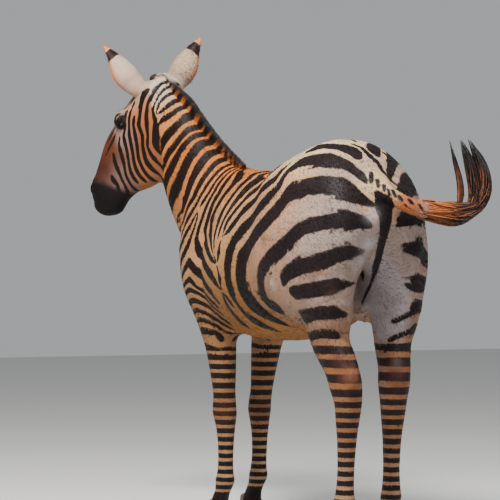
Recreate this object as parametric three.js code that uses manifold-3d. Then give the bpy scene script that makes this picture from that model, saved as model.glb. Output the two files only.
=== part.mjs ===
// A life-size standing zebra, divided where a person would name its parts.
// Millimetres. +X is the animal's left, -Y is forward, +Z is up, the soles stand on Z = 0.
import * as THREE from "three";
import Module from "manifold-3d";

// ---------- driving dimensions ----------

const GAP = 0.4; // clearance between neighbouring parts
const TRUNK_STEP = 57; // facet size on the trunk
const NECK_STEP = 44;
const HEAD_STEP = 24;
const DOCK_SIDES = 12;
const LEG_SIDES = 14; // facets around a leg
const LEG_RISE = 42; // facet height along a leg
const EYE_RADIUS = 19.5;
const EAR_LENGTH = 213;
const EAR_THICKNESS = 7;
const HOOF_HEIGHT = 66;

const COAT = new THREE.MeshStandardMaterial({ name: "coat", color: 0xc9b79f });
const DARK_HAIR = new THREE.MeshStandardMaterial({ name: "dark_hair", color: 0x3a2a22 });
const EYE = new THREE.MeshStandardMaterial({ name: "eye", color: 0x120d0a });
const HORN = new THREE.MeshStandardMaterial({ name: "horn", color: 0x4a4038 });

// Rows of the trunk: y, top, bottom, half width, share of the height below the widest level.
const TRUNK = [
  [-440, 1040, 800, 85, 0.5],
  [-380, 1130, 730, 130, 0.48],
  [-280, 1225, 690, 180, 0.46],
  [-160, 1258, 670, 225, 0.44],
  [-40, 1250, 657, 262, 0.43],
  [80, 1247, 654, 285, 0.44],
  [200, 1260, 662, 286, 0.46],
  [320, 1297, 695, 268, 0.52],
  [430, 1336, 760, 240, 0.58],
  [530, 1343, 850, 202, 0.6],
  [600, 1322, 855, 188, 0.58],
  [660, 1250, 880, 145, 0.56],
  [705, 1165, 905, 92, 0.5],
];

// Rows of the neck: x, y, z, half width, up to the crest, down to the throat.
const NECK = [
  [5, -200, 980, 120, 235, 240],
  [35, -310, 1085, 134, 195, 270],
  [78, -425, 1205, 118, 161, 225],
  [120, -515, 1320, 95, 143, 170],
  [156, -590, 1420, 78, 136, 140],
  [184, -645, 1500, 66, 104, 116],
];

// Head frame: h runs to the muzzle, d to the forehead, l to the left.
const HEAD_ORIGIN = [203, -682, 1628];
const HEAD_TURN = [26, 56, -4]; // yaw, pitch, roll in degrees

// Rows of the skull and jaw in the head frame: h, d, l, half width, dorsal, ventral.
const SKULL = [
  [-14, -90, 0, 46, 34, 60],
  [40, -75, 0, 66, 64, 85],
  [100, -78, 0, 80, 92, 100],
  [170, -80, 0, 84, 108, 110],
  [240, -78, 0, 72, 114, 100],
  [320, -73, 0, 57, 117, 80],
  [400, -72, 0, 49, 103, 68],
  [455, -72, 0, 51, 90, 64],
  [500, -76, 0, 51, 77, 60],
  [530, -84, 0, 42, 56, 46],
];
const JAW = [
  [100, -175, 0, 50, 60, 80],
  [160, -200, 0, 58, 60, 96],
  [230, -200, 0, 58, 60, 92],
  [310, -172, 0, 48, 50, 74],
  [390, -137, 0, 38, 40, 52],
  [460, -122, 0, 36, 40, 36],
  [505, -126, 0, 34, 35, 30],
];

// Profile of a foreleg and a hind leg: height, outward shift, rearward shift, half width, front, back.
const FORE = [
  [980, 0, -60, 70, 130, 160],
  [860, 10, -30, 74, 125, 130],
  [740, 4, 0, 66, 90, 100],
  [640, 0, 4, 57, 67, 72],
  [550, 0, 2, 49, 53, 56],
  [470, 0, 0, 42.5, 43, 45],
  [420, 0, -4, 43, 44, 44],
  [385, 0, -4, 43.5, 44, 46],
  [340, 0, 0, 37, 36, 40],
  [285, 0, 2, 31, 28, 37],
  [215, 0, 2, 29, 26, 36],
  [170, 0, 0, 32, 29, 39],
  [148, 0, -2, 36, 33, 42],
  [110, 0, -20, 30, 29, 31],
  [80, 0, -38, 32, 32, 32],
  [45, 0, -50, 38, 38, 36],
];
const HIND = [
  [1130, 0, -5, 122, 190, 205],
  [1000, 18, -20, 134, 212, 250],
  [880, 18, 0, 116, 185, 205],
  [800, 8, 30, 90, 150, 140],
  [750, 5, 20, 73, 120, 118],
  [670, 4, -8, 58, 86, 90],
  [595, 2, 0, 54, 68, 78],
  [530, 0, 6, 52, 56, 74],
  [475, 0, 10, 46, 49, 56],
  [415, 0, 6, 40, 42, 47],
  [345, 0, 2, 33, 34, 39],
  [250, 0, -2, 29, 29, 37],
  [185, 0, -4, 32, 32, 41],
  [155, 0, -6, 36, 36, 44],
  [114, 0, -26, 30, 31, 32],
  [82, 0, -44, 32, 33, 33],
  [45, 0, -56, 38, 39, 37],
];

// The line that each leg hangs along: height, x, y.
const LEG_LINES = {
  fore_left: [[1000, 135, -290], [800, 133, -260], [600, 112, -235], [400, 100, -225], [0, 105, -222]],
  fore_right: [[1000, -130, -300], [800, -130, -320], [600, -110, -345], [400, -100, -365], [0, -100, -390]],
  hind_left: [
    [1150, 125, 470], [1000, 130, 500], [860, 130, 585], [700, 118, 655],
    [600, 105, 705], [500, 97, 735], [300, 98, 735], [0, 104, 725],
  ],
  hind_right: [
    [1150, -125, 465], [1000, -130, 495], [860, -130, 568], [700, -122, 640],
    [600, -115, 662], [500, -108, 660], [300, -114, 645], [0, -120, 635],
  ],
};

// Rows of the tail's dock: x, y, z, half width, up, down.
const DOCK = [
  [0, 610, 1222, 44, 44, 44],
  [2, 680, 1216, 43, 38, 40],
  [6, 760, 1195, 34, 30, 32],
  [-10, 825, 1155, 28, 26, 27],
  [-55, 870, 1118, 27, 28, 28],
  [-110, 885, 1102, 27, 32, 31],
];
// Rows of the tail's hair: x, y, z, radius.
const TAIL_HAIR = [
  [-85, 880, 1108, 33],
  [-150, 890, 1094, 40],
  [-215, 900, 1088, 43],
  [-265, 907, 1092, 39],
  [-300, 914, 1112, 32],
];
const LOCKS = [
  [[-225, 896, 1098, 8], [-238, 893, 1150, 11], [-234, 890, 1205, 10], [-222, 882, 1262, 8], [-207, 872, 1335, 2]],
  [[-262, 902, 1092, 22], [-285, 905, 1140, 25], [-280, 902, 1205, 24], [-262, 895, 1275, 17], [-240, 886, 1332, 3]],
  [[-290, 908, 1112, 22], [-316, 914, 1165, 24], [-312, 912, 1225, 22], [-292, 905, 1280, 16], [-264, 896, 1335, 3]],
];

// Rows inside the neck and skull that the mane stands over, from the withers to the forelock:
// x, y, z and the way from there to the mane's root.
const MANE_LINE = [
  [50, -350, 1125, -0.06, 0.7, 0.71],
  [78, -425, 1205, -0.09, 0.73, 0.67],
  [120, -515, 1320, -0.11, 0.77, 0.63],
  [156, -590, 1420, -0.12, 0.79, 0.61],
  [180, -640, 1490, -0.12, 0.74, 0.66],
  [188, -655, 1510, -0.06, 0.5, 0.86],
  [191, -662, 1515, 0.02, 0.2, 0.98],
  [192, -665, 1518, 0.1, -0.06, 0.99],
];
// The mane's height at shares of that line, from the withers to the poll.
const MANE_HEIGHTS = [
  [0, 16], [0.05, 30], [0.1, 38], [0.45, 40], [0.52, 34], [0.57, 24], [0.62, 13], [0.68, 8],
  [0.76, 10], [0.84, 17], [0.95, 17], [1, 12],
];

// Small rounded masses: centre, radii, blend.
const SHOULDER = [[110, -330, 1020], [75, 110, 190], 80];
const BUTTOCK = [[106, 672, 1030], [96, 142, 195], 70];
const BROW = [[185, -16, 68], [42, 26, 30], 30];
const NOSTRIL_SWELL = [[466, -40, 34], [42, 34, 26], 30];
const EAR_ROOT = [[45, -55, 60], [35, 32, 24], 40];
const EYE_CENTRE = [190, -34, 73];

// Ear: base in the head frame, where its tip and its back point, then the tube's radius and half opening angle.
const EARS = {
  left: { base: [21, -43, 70], tip: [0.567, -0.455, 0.686], back: [-0.43, 0.9, 0.03] },
  right: { base: [18, -44, -75], tip: [-0.54, 0.15, 0.83], back: [0.74, 0.67, 0.05] },
};
const EAR_PROFILE = [
  [0, 34, 130], [0.15, 42, 112], [0.3, 49, 100], [0.45, 50, 90], [0.6, 43, 80],
  [0.7, 33, 72], [0.8, 25, 66], [0.9, 15, 60], [0.96, 8.5, 55], [1, 4, 50],
];

// ---------- small vector helpers ----------

const add = (a, b) => [a[0] + b[0], a[1] + b[1], a[2] + b[2]];
const sub = (a, b) => [a[0] - b[0], a[1] - b[1], a[2] - b[2]];
const scale = (a, s) => [a[0] * s, a[1] * s, a[2] * s];
const dot = (a, b) => a[0] * b[0] + a[1] * b[1] + a[2] * b[2];
const cross = (a, b) => [
  a[1] * b[2] - a[2] * b[1],
  a[2] * b[0] - a[0] * b[2],
  a[0] * b[1] - a[1] * b[0],
];
const unit = (a) => scale(a, 1 / Math.hypot(...a));
const mix = (a, b, t) => a.map((value, i) => value + (b[i] - value) * t);
const radians = (degrees) => (degrees * Math.PI) / 180;

function smoothMin(a, b, blend) {
  const h = Math.max(blend - Math.abs(a - b), 0) / blend;
  return Math.min(a, b) - h * h * blend * 0.25;
}

// Catmull-Rom curve through rows of any length.
function smoothRows(rows, steps = 5) {
  const out = [];
  for (let i = 0; i < rows.length - 1; i += 1) {
    const before = rows[Math.max(i - 1, 0)];
    const after = rows[Math.min(i + 2, rows.length - 1)];
    for (let j = 0; j < steps; j += 1) {
      const t = j / steps;
      out.push(rows[i].map((p1, n) => {
        const p0 = before[n];
        const p2 = rows[i + 1][n];
        const p3 = after[n];
        const cubic = 3 * p1 - p0 - 3 * p2 + p3;
        const square = 2 * p0 - 5 * p1 + 4 * p2 - p3;
        return 0.5 * (2 * p1 + (p2 - p0) * t + square * t * t + cubic * t * t * t);
      }));
    }
  }
  out.push(rows[rows.length - 1]);
  return out;
}

function interpolate(rows, key) {
  const sorted = [...rows].sort((a, b) => a[0] - b[0]);
  let i = 0;
  while (i < sorted.length - 2 && sorted[i + 1][0] < key) i += 1;
  const [low, high] = [sorted[i], sorted[i + 1]];
  const t = Math.min(Math.max((key - low[0]) / (high[0] - low[0]), 0), 1);
  return mix(low, high, t);
}

// ---------- frames ----------

function headAxes([yaw, pitch, roll]) {
  const [y, p, r] = [yaw, pitch, roll].map(radians);
  const ahead = [Math.sin(y), -Math.cos(y), 0];
  const left = [Math.cos(y), Math.sin(y), 0];
  const up = [0, 0, 1];
  const h = sub(scale(ahead, Math.cos(p)), scale(up, Math.sin(p)));
  const d = add(scale(ahead, Math.sin(p)), scale(up, Math.cos(p)));
  return [
    h,
    sub(scale(d, Math.cos(r)), scale(left, Math.sin(r))),
    add(scale(left, Math.cos(r)), scale(d, Math.sin(r))),
  ];
}

const HEAD_AXES = headAxes(HEAD_TURN);
const WORLD = { origin: [0, 0, 0], axes: [[1, 0, 0], [0, 1, 0], [0, 0, 1]] };
const HEAD = { origin: HEAD_ORIGIN, axes: HEAD_AXES };

function toWorld(frame, p) {
  let out = frame.origin;
  frame.axes.forEach((axis, i) => {
    out = add(out, scale(axis, p[i]));
  });
  return out;
}

const toLocal = (frame, p) => frame.axes.map((axis) => dot(sub(p, frame.origin), axis));

// ---------- rounded shapes as signed distances (negative inside) ----------

// A swept shape: rows of x, y, z, side, up, down; reference is the way its "up" leans.
function loft(rows, reference, blend, power = 2, frame = WORLD) {
  const line = smoothRows(rows);
  const stations = line.map((row, i) => {
    const tangent = unit(sub(line[Math.min(i + 1, line.length - 1)], line[Math.max(i - 1, 0)]));
    const up = unit(sub(reference, scale(tangent, dot(reference, tangent))));
    const [side, over, under] = row.slice(3);
    return { at: row.slice(0, 3), tangent, up, side: cross(tangent, up), radii: [side, over, under] };
  });
  const last = stations.length - 2;
  const reach = Math.max(...rows.map((row) => Math.max(...row.slice(3))));
  const centre = scale(stations.reduce((sum, s) => add(sum, s.at), [0, 0, 0]), 1 / stations.length);
  const span = Math.max(...stations.map((s) => Math.hypot(...sub(s.at, centre))));

  function distance(point) {
    const p = toLocal(frame, point);
    const far = Math.hypot(...sub(p, centre)) - span - reach;
    if (far > 150) return far;
    let [best, index, share] = [Infinity, 0, 0];
    for (let i = 0; i <= last; i += 1) {
      const run = sub(stations[i + 1].at, stations[i].at);
      const q = sub(p, stations[i].at);
      const t = Math.min(Math.max(dot(q, run) / dot(run, run), 0), 1);
      const gap = sub(q, scale(run, t));
      const squared = dot(gap, gap);
      if (squared < best) [best, index, share] = [squared, i, t];
    }
    const [a, b] = [stations[index], stations[index + 1]];
    const q = sub(p, mix(a.at, b.at, share));
    const [side, over, under] = mix(a.radii, b.radii, share);
    const u = dot(q, mix(a.side, b.side, share));
    const v = dot(q, mix(a.up, b.up, share));
    const along = index > 0 && index < last ? 0 : dot(q, mix(a.tangent, b.tangent, share));
    const height = v > 0 ? over : under;
    const cap = Math.min(side, over, under);
    const sum = Math.abs(u / side) ** power + Math.abs(v / height) ** power + Math.abs(along / cap) ** power;
    const k = sum ** (1 / power);
    const length = Math.hypot(u, v, along);
    return k > 0.2 ? length - length / k : -Math.min(side, height) * (1 - k);
  }
  return { distance, blend };
}

function ellipsoid([centre, radii, blend], frame = WORLD, mirror = 1) {
  const middle = [centre[0], centre[1], centre[2]];
  if (frame === WORLD) middle[0] *= mirror;
  else middle[2] *= mirror;
  function distance(point) {
    const q = sub(toLocal(frame, point), middle);
    const k0 = Math.hypot(q[0] / radii[0], q[1] / radii[1], q[2] / radii[2]);
    const k1 = Math.hypot(q[0] / radii[0] ** 2, q[1] / radii[1] ** 2, q[2] / radii[2] ** 2);
    return k0 > 1e-3 ? (k0 * (k0 - 1)) / k1 : -Math.min(...radii);
  }
  return { distance, blend };
}

// ---------- the body's shapes ----------

function trunkRows() {
  return TRUNK.map(([y, top, bottom, half, share]) => {
    const z = bottom + (top - bottom) * share;
    return [0, y, z, half, top - z, z - bottom];
  });
}

function legRows(profile, line, side) {
  return profile.map(([z, outward, rearward, half, front, back]) => {
    const [, x, y] = interpolate(line, z);
    return [x + side * outward, y + rearward, z, half, front, back];
  });
}

function headShapes() {
  const forehead = [0, 1, 0];
  const shapes = [loft(SKULL, forehead, 50, 2, HEAD), loft(JAW, forehead, 40, 2, HEAD)];
  for (const side of [1, -1]) {
    for (const mass of [BROW, NOSTRIL_SWELL, EAR_ROOT]) shapes.push(ellipsoid(mass, HEAD, side));
  }
  return shapes;
}

function bodyShapes() {
  const forward = [0, -1, 0];
  const shapes = [loft(trunkRows(), [0, 0, 1], 50, 2.1), loft(NECK, [0, 0.55, 1], 80)];
  for (const [name, line] of Object.entries(LEG_LINES)) {
    const side = name.endsWith("left") ? 1 : -1;
    const fore = name.startsWith("fore");
    shapes.push(loft(legRows(fore ? FORE : HIND, line, side), forward, 60));
    shapes.push(ellipsoid(fore ? SHOULDER : BUTTOCK, WORLD, side));
  }
  shapes.push(...headShapes());
  return shapes;
}

const BODY = bodyShapes();

function bodyDistance(point) {
  return BODY.reduce((near, shape) => smoothMin(near, shape.distance(point), shape.blend), 1000);
}

// ---------- from a signed distance to facets ----------

const planes = (from, to, step) => {
  const count = Math.ceil((to - from) / step);
  return Array.from({ length: count + 1 }, (_, i) => from + ((to - from) * i) / count);
};

function slopeAt(distance, p) {
  const step = 1;
  return [0, 1, 2].map((axis) => {
    const ahead = [...p];
    const behind = [...p];
    ahead[axis] += step;
    behind[axis] -= step;
    return (distance(ahead) - distance(behind)) / (2 * step);
  });
}

// Moves a point onto the surface along the slope.
function settle(distance, p, limit) {
  let out = p;
  for (let i = 0; i < 2; i += 1) {
    const slope = slopeAt(distance, out);
    const squared = Math.max(dot(slope, slope), 0.15);
    const move = scale(slope, -distance(out) / squared);
    out = add(out, scale(move, Math.min(1, limit / Math.max(Math.hypot(...move), 1e-9))));
  }
  return out;
}

// Surface nets over three lists of planes laid in a frame; the box's border counts as outside.
function facetSurface(distance, lists, frame = WORLD) {
  const size = lists.map((list) => list.length);
  const index = (i, j, k) => (i * size[1] + j) * size[2] + k;
  const values = new Float64Array(size[0] * size[1] * size[2]);
  const border = (i, j, k) => [i, j, k].some((n, axis) => n === 0 || n === size[axis] - 1);
  const corner = (i, j, k) => [lists[0][i], lists[1][j], lists[2][k]];
  for (let i = 0; i < size[0]; i += 1) {
    for (let j = 0; j < size[1]; j += 1) {
      for (let k = 0; k < size[2]; k += 1) {
        const value = distance(toWorld(frame, corner(i, j, k)));
        values[index(i, j, k)] = border(i, j, k) ? Math.max(value, 1) : value;
      }
    }
  }
  const points = [];
  const cells = new Map();
  const limit = Math.min(...lists.map((list) => list[1] - list[0])) * 0.5;
  for (let i = 0; i < size[0] - 1; i += 1) {
    for (let j = 0; j < size[1] - 1; j += 1) {
      for (let k = 0; k < size[2] - 1; k += 1) {
        const crossing = cellCentre([i, j, k], values, index, corner);
        if (crossing) {
          cells.set(index(i, j, k), points.length);
          points.push(settle(distance, toWorld(frame, crossing), limit));
        }
      }
    }
  }
  return { points, triangles: netTriangles(values, cells, size, index) };
}

const CUBE_EDGES = [];
for (let axis = 0; axis < 3; axis += 1) {
  for (let a = 0; a < 2; a += 1) {
    for (let b = 0; b < 2; b += 1) {
      const start = [0, 0, 0];
      start[(axis + 1) % 3] = a;
      start[(axis + 2) % 3] = b;
      const end = [...start];
      end[axis] = 1;
      CUBE_EDGES.push([start, end]);
    }
  }
}

function cellCentre(cell, values, index, corner) {
  let [sum, count] = [[0, 0, 0], 0];
  for (const [start, end] of CUBE_EDGES) {
    const [p, q] = [add(cell, start), add(cell, end)];
    const [f, g] = [values[index(...p)], values[index(...q)]];
    if (f < 0 !== g < 0) {
      sum = add(sum, mix(corner(...p), corner(...q), f / (f - g)));
      count += 1;
    }
  }
  return count ? scale(sum, 1 / count) : null;
}

function netTriangles(values, cells, size, index) {
  const triangles = [];
  for (let axis = 0; axis < 3; axis += 1) {
    const [u, w] = [(axis + 1) % 3, (axis + 2) % 3];
    for (let i = 0; i < size[0]; i += 1) {
      for (let j = 0; j < size[1]; j += 1) {
        for (let k = 0; k < size[2]; k += 1) {
          const here = [i, j, k];
          const next = [...here];
          next[axis] += 1;
          if (next[axis] >= size[axis] || here[u] === 0 || here[w] === 0) continue;
          const inside = values[index(...here)] < 0;
          if (inside === values[index(...next)] < 0) continue;
          const ring = [[-1, -1], [0, -1], [0, 0], [-1, 0]].map(([du, dw]) => {
            const cell = [...here];
            cell[u] += du;
            cell[w] += dw;
            return cells.get(index(...cell));
          });
          if (!inside) ring.reverse();
          triangles.push([ring[0], ring[1], ring[2]], [ring[0], ring[2], ring[3]]);
        }
      }
    }
  }
  return triangles;
}

// ---------- joining and cutting ----------

const wasm = await Module();
wasm.setup();
const { Manifold, Mesh } = wasm;

function solidFrom({ points, triangles }) {
  const mesh = new Mesh({
    numProp: 3,
    vertProperties: Float32Array.from(points.flat()),
    triVerts: Uint32Array.from(triangles.flat()),
  });
  mesh.merge();
  const solid = new Manifold(mesh);
  if (solid.volume() > 0) return solid;
  return solidFrom({ points, triangles: triangles.map(([a, b, c]) => [a, c, b]) });
}

// Keeps the side of the plane that the normal points to, half a gap clear of it.
function trim(solid, point, normal, gap = GAP / 2) {
  const n = unit(normal);
  return solid.trimByPlane(n, dot(n, point) + gap);
}

function box(low, high) {
  const corners = [];
  for (const z of [low[2], high[2]]) {
    corners.push([low[0], low[1], z], [high[0], low[1], z], [high[0], high[1], z], [low[0], high[1], z]);
  }
  const faces = [[3, 2, 1, 0], [4, 5, 6, 7], [0, 1, 5, 4], [1, 2, 6, 5], [2, 3, 7, 6], [3, 0, 4, 7]];
  const triangles = faces.flatMap(([a, b, c, d]) => [[a, b, c], [a, c, d]]);
  return solidFrom({ points: corners, triangles });
}

function largest(solid) {
  const pieces = solid.decompose();
  return pieces.reduce((best, piece) => (piece.volume() > best.volume() ? piece : best));
}

function meshOf(name, solid, material) {
  const { vertProperties, triVerts, numProp } = solid.getMesh();
  const count = vertProperties.length / numProp;
  const positions = new Float32Array(count * 3);
  for (let i = 0; i < count; i += 1) {
    for (let axis = 0; axis < 3; axis += 1) positions[i * 3 + axis] = vertProperties[i * numProp + axis];
  }
  const geometry = new THREE.BufferGeometry();
  geometry.setAttribute("position", new THREE.BufferAttribute(positions, 3));
  geometry.setIndex(new THREE.BufferAttribute(Uint32Array.from(triVerts), 1));
  geometry.computeVertexNormals();
  const mesh = new THREE.Mesh(geometry, material);
  mesh.name = name;
  return mesh;
}

// ---------- rings of points closed into a solid ----------

function ringSolid(rings) {
  const around = rings[0].length;
  const points = rings.flat();
  const triangles = [];
  for (let r = 0; r < rings.length - 1; r += 1) {
    for (let i = 0; i < around; i += 1) {
      const j = (i + 1) % around;
      const [a, b, c, d] = [r * around + i, r * around + j, (r + 1) * around + j, (r + 1) * around + i];
      triangles.push([a, b, c], [a, c, d]);
    }
  }
  const centreOf = (ring) => scale(ring.reduce(add), 1 / around);
  const first = points.push(centreOf(rings[0])) - 1;
  const final = points.push(centreOf(rings[rings.length - 1])) - 1;
  const top = (rings.length - 1) * around;
  for (let i = 0; i < around; i += 1) {
    const j = (i + 1) % around;
    triangles.push([first, j, i], [final, top + i, top + j]);
  }
  const solid = solidFrom({ points, triangles });
  return solid;
}

// A tapering lock of hair along rows of x, y, z, radius.
function lock(rows, around, grow = 0) {
  const line = smoothRows(rows, 2);
  const rings = line.map((row, i) => {
    const tangent = unit(sub(line[Math.min(i + 1, line.length - 1)], line[Math.max(i - 1, 0)]).slice(0, 3));
    const side = unit(cross(tangent, [0.1, 1, 0]));
    const up = cross(tangent, side);
    const radius = Math.max(row[3], 1.5) + grow;
    return Array.from({ length: around }, (_, n) => {
      const turn = (2 * Math.PI * n) / around;
      const offset = add(scale(side, radius * Math.cos(turn)), scale(up, radius * 0.75 * Math.sin(turn)));
      return add(row.slice(0, 3), offset);
    });
  });
  return ringSolid(rings);
}

// ---------- ears ----------

function earSolid(side, grow = 0) {
  const across = 8;
  const lengthwise = 8;
  const { base, tip, back: behind } = EARS[side];
  const root = toWorld(HEAD, base);
  const axis = unit(tip);
  const back = unit(sub(behind, scale(axis, dot(behind, axis))));
  const right = cross(axis, back);
  const half = EAR_THICKNESS / 2 + grow;
  const sheet = (offset) => {
    const points = [];
    for (let i = 0; i <= lengthwise; i += 1) {
      const stretch = (grow * (2 * i - lengthwise)) / lengthwise;
      const t = i / lengthwise + stretch / EAR_LENGTH;
      const [, radius, opening] = interpolate(EAR_PROFILE, t);
      const bend = 10 * Math.sin(Math.PI * t);
      const middle = add(root, add(scale(axis, EAR_LENGTH * t), scale(back, bend - radius)));
      for (let j = 0; j <= across; j += 1) {
        const angle = (radians(opening) + grow / radius) * ((2 * j) / across - 1);
        const out = add(scale(right, Math.sin(angle)), scale(back, Math.cos(angle)));
        points.push(add(middle, scale(out, radius + offset)));
      }
    }
    return points;
  };
  return solidFrom(closedSheet(sheet(half), sheet(-half), across + 1, lengthwise + 1));
}

// Joins an outer and an inner sheet of points by a rim.
function closedSheet(outer, inner, columns, rows) {
  const shift = outer.length;
  const at = (r, c) => r * columns + c;
  const triangles = [];
  const quad = (a, b, c, d) => triangles.push([a, b, c], [a, c, d]);
  for (let r = 0; r < rows - 1; r += 1) {
    for (let c = 0; c < columns - 1; c += 1) {
      quad(at(r, c), at(r + 1, c), at(r + 1, c + 1), at(r, c + 1));
      quad(shift + at(r, c), shift + at(r, c + 1), shift + at(r + 1, c + 1), shift + at(r + 1, c));
    }
  }
  const rim = [];
  for (let c = 0; c < columns - 1; c += 1) rim.push([at(0, c), at(0, c + 1)]);
  for (let r = 0; r < rows - 1; r += 1) rim.push([at(r, columns - 1), at(r + 1, columns - 1)]);
  for (let c = columns - 1; c > 0; c -= 1) rim.push([at(rows - 1, c), at(rows - 1, c - 1)]);
  for (let r = rows - 1; r > 0; r -= 1) rim.push([at(r, 0), at(r - 1, 0)]);
  for (const [a, b] of rim) quad(a, b, shift + b, shift + a);
  return { points: [...outer, ...inner], triangles };
}

// ---------- mane ----------

// Height of the skin above a point of the neck's middle line, found by halving.
function skinAbove(from, direction) {
  let [low, high] = [0, 300];
  for (let i = 0; i < 24; i += 1) {
    const middle = (low + high) / 2;
    if (bodyDistance(add(from, scale(direction, middle))) < 0) low = middle;
    else high = middle;
  }
  return add(from, scale(direction, low));
}

function maneSolid(grow = 0) {
  const line = smoothRows(MANE_LINE, 3);
  const ups = line.map((row) => unit(row.slice(3)));
  const roots = line.map((row, i) => skinAbove(row.slice(0, 3), ups[i]));
  const last = roots.length - 1;
  const rings = roots.map((root, i) => {
    const t = i / last;
    const tangent = unit(sub(roots[Math.min(i + 1, last)], roots[Math.max(i - 1, 0)]));
    const side = unit(cross(tangent, ups[i]));
    const [, height] = interpolate(MANE_HEIGHTS, t);
    const outline = [[-13, -12], [13, -12], [13, 2], [10, height * 0.6], [4, height],
      [-4, height], [-10, height * 0.6], [-13, 2]];
    const end = i === 0 ? -grow : i === last ? grow : 0;
    return outline.map(([u, v]) => {
      const across = scale(side, u + Math.sign(u) * grow);
      const above = scale(ups[i], v + (v < 0 ? -grow : grow));
      return add(add(root, scale(tangent, end)), add(across, above));
    });
  });
  return ringSolid(rings);
}

// ---------- hooves ----------

// The pastern meets the hoof along a sloping line, high at the toe and low at the heel.
function hoofFrame(line, profile) {
  const low = interpolate(line, 0);
  const foot = profile[profile.length - 1];
  return { x: low[1], y: low[2] + foot[2] };
}

const HOOF_SLOPE = [0, 0.5, 1];

function hoofTop(foot) {
  return [foot.x, foot.y, HOOF_HEIGHT - 14];
}

function hoofSolid(foot) {
  const around = 16;
  const normal = unit(HOOF_SLOPE);
  const top = hoofTop(foot);
  const ring = (half, toe, heel, height) => Array.from({ length: around }, (_, i) => {
    const turn = (2 * Math.PI * i) / around;
    const [c, s] = [Math.cos(turn), Math.sin(turn)];
    const x = foot.x + half * c;
    const y = foot.y + (s < 0 ? toe : heel) * s;
    const slope = top[2] - (normal[1] * (y - top[1])) / normal[2];
    return [x, y, height === null ? slope - GAP : Math.min(height, slope - GAP)];
  });
  return ringSolid([ring(52, 68, 46, 0), ring(49, 60, 45, 14), ring(41, 44, 40, null)]);
}

// ---------- cutting the animal into named parts ----------

const HEAD_CUT = {
  point: toWorld(HEAD, [-40, -60, 0]),
  normal: add(scale(HEAD_AXES[0], 0.55), scale(HEAD_AXES[1], 0.83)),
};
const NECK_CUT = { point: [45, -385, 1100], normal: [0.237, -0.828, 0.508] };
const MUZZLE_CUT = { point: toWorld(HEAD, [395, -80, 0]), normal: HEAD_AXES[0] };
const HAIR_CUT = { point: [-105, 884, 1103], normal: [-1, 0.1, -0.25] };
// Where the legs leave the trunk, and the levels between their parts.
const FORE_LEG = { top: 688, near: 22, front: -640, back: -150, joints: [455, 165] };
const HIND_LEG = { top: 705, near: 0.2, front: 380, back: 900, joints: [560, 178] };

const flip = (normal) => scale(normal, -1);

function headParts(eyes) {
  const lists = [planes(-100, 570, HEAD_STEP), planes(-345, 75, HEAD_STEP), planes(-138, 138, HEAD_STEP)];
  let head = solidFrom(facetSurface(bodyDistance, lists, HEAD));
  head = largest(trim(head, HEAD_CUT.point, HEAD_CUT.normal));
  for (const eye of eyes) head = head.subtract(eye.socket);
  for (const side of ["left", "right"]) head = head.subtract(earSolid(side, GAP));
  head = head.subtract(maneSolid(2 * GAP));
  const muzzle = largest(trim(head, MUZZLE_CUT.point, MUZZLE_CUT.normal));
  const rest = largest(trim(head, MUZZLE_CUT.point, flip(MUZZLE_CUT.normal)));
  return [meshOf("head", rest, COAT), meshOf("muzzle", muzzle, COAT)];
}

function neckPart() {
  const lists = [planes(-180, 330, NECK_STEP), planes(-840, -180, NECK_STEP), planes(760, 1720, NECK_STEP)];
  let neck = solidFrom(facetSurface(bodyDistance, lists));
  neck = trim(neck, HEAD_CUT.point, flip(HEAD_CUT.normal));
  neck = trim(neck, NECK_CUT.point, NECK_CUT.normal);
  return meshOf("neck", largest(neck.subtract(maneSolid(2 * GAP))), COAT);
}

const legKind = (name) => (name.startsWith("fore") ? FORE_LEG : HIND_LEG);

function legBox(name, grow) {
  const left = name.endsWith("left");
  const { top, near, front, back } = legKind(name);
  const [inner, outer] = [near - grow, 330]; // two hind boxes that have grown meet at the middle
  return box(
    [left ? inner : -outer, front - grow, -50],
    [left ? outer : -inner, back + grow, top + grow],
  );
}

function trunkPart() {
  const lists = [planes(-385, 385, TRUNK_STEP), planes(-659, 864, TRUNK_STEP), planes(536, 1420, TRUNK_STEP)];
  let trunk = solidFrom(facetSurface(bodyDistance, lists));
  trunk = trim(trunk, NECK_CUT.point, flip(NECK_CUT.normal));
  for (const name of Object.keys(LEG_LINES)) trunk = trunk.subtract(legBox(name, GAP));
  trunk = trunk.subtract(dockSolid(GAP));
  return meshOf("trunk", largest(trunk.subtract(maneSolid(2 * GAP))), COAT);
}

// One ring of skin points around a centre, found along rays in the plane of u and v.
function skinRing(centre, [u, v], sides, inside, furthest) {
  return Array.from({ length: sides }, (_, i) => {
    const turn = (2 * Math.PI * (i + 0.5)) / sides;
    const ray = add(scale(u, Math.cos(turn)), scale(v, Math.sin(turn)));
    const at = (reach) => add(centre, scale(ray, reach));
    let reach = 4;
    while (inside(at(reach)) && reach < furthest) reach += 4;
    let [low, high] = [reach - 4, reach];
    for (let n = 0; n < 12; n += 1) {
      const middle = (low + high) / 2;
      if (inside(at(middle))) low = middle;
      else high = middle;
    }
    return at(low);
  });
}

// A ring around a leg at a height, kept inside the leg's own box.
function legRing(name, rows, z) {
  const side = name.endsWith("left") ? 1 : -1;
  const { near, front, back } = legKind(name);
  const [, x, y] = interpolate(rows.map((row) => [row[2], row[0], row[1]]), z);
  const inside = (p) => p[0] * side > near && p[1] > front && p[1] < back && bodyDistance(p) < 0;
  return skinRing([x, y, z], [[1, 0, 0], [0, 1, 0]], LEG_SIDES, inside, 320);
}

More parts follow.
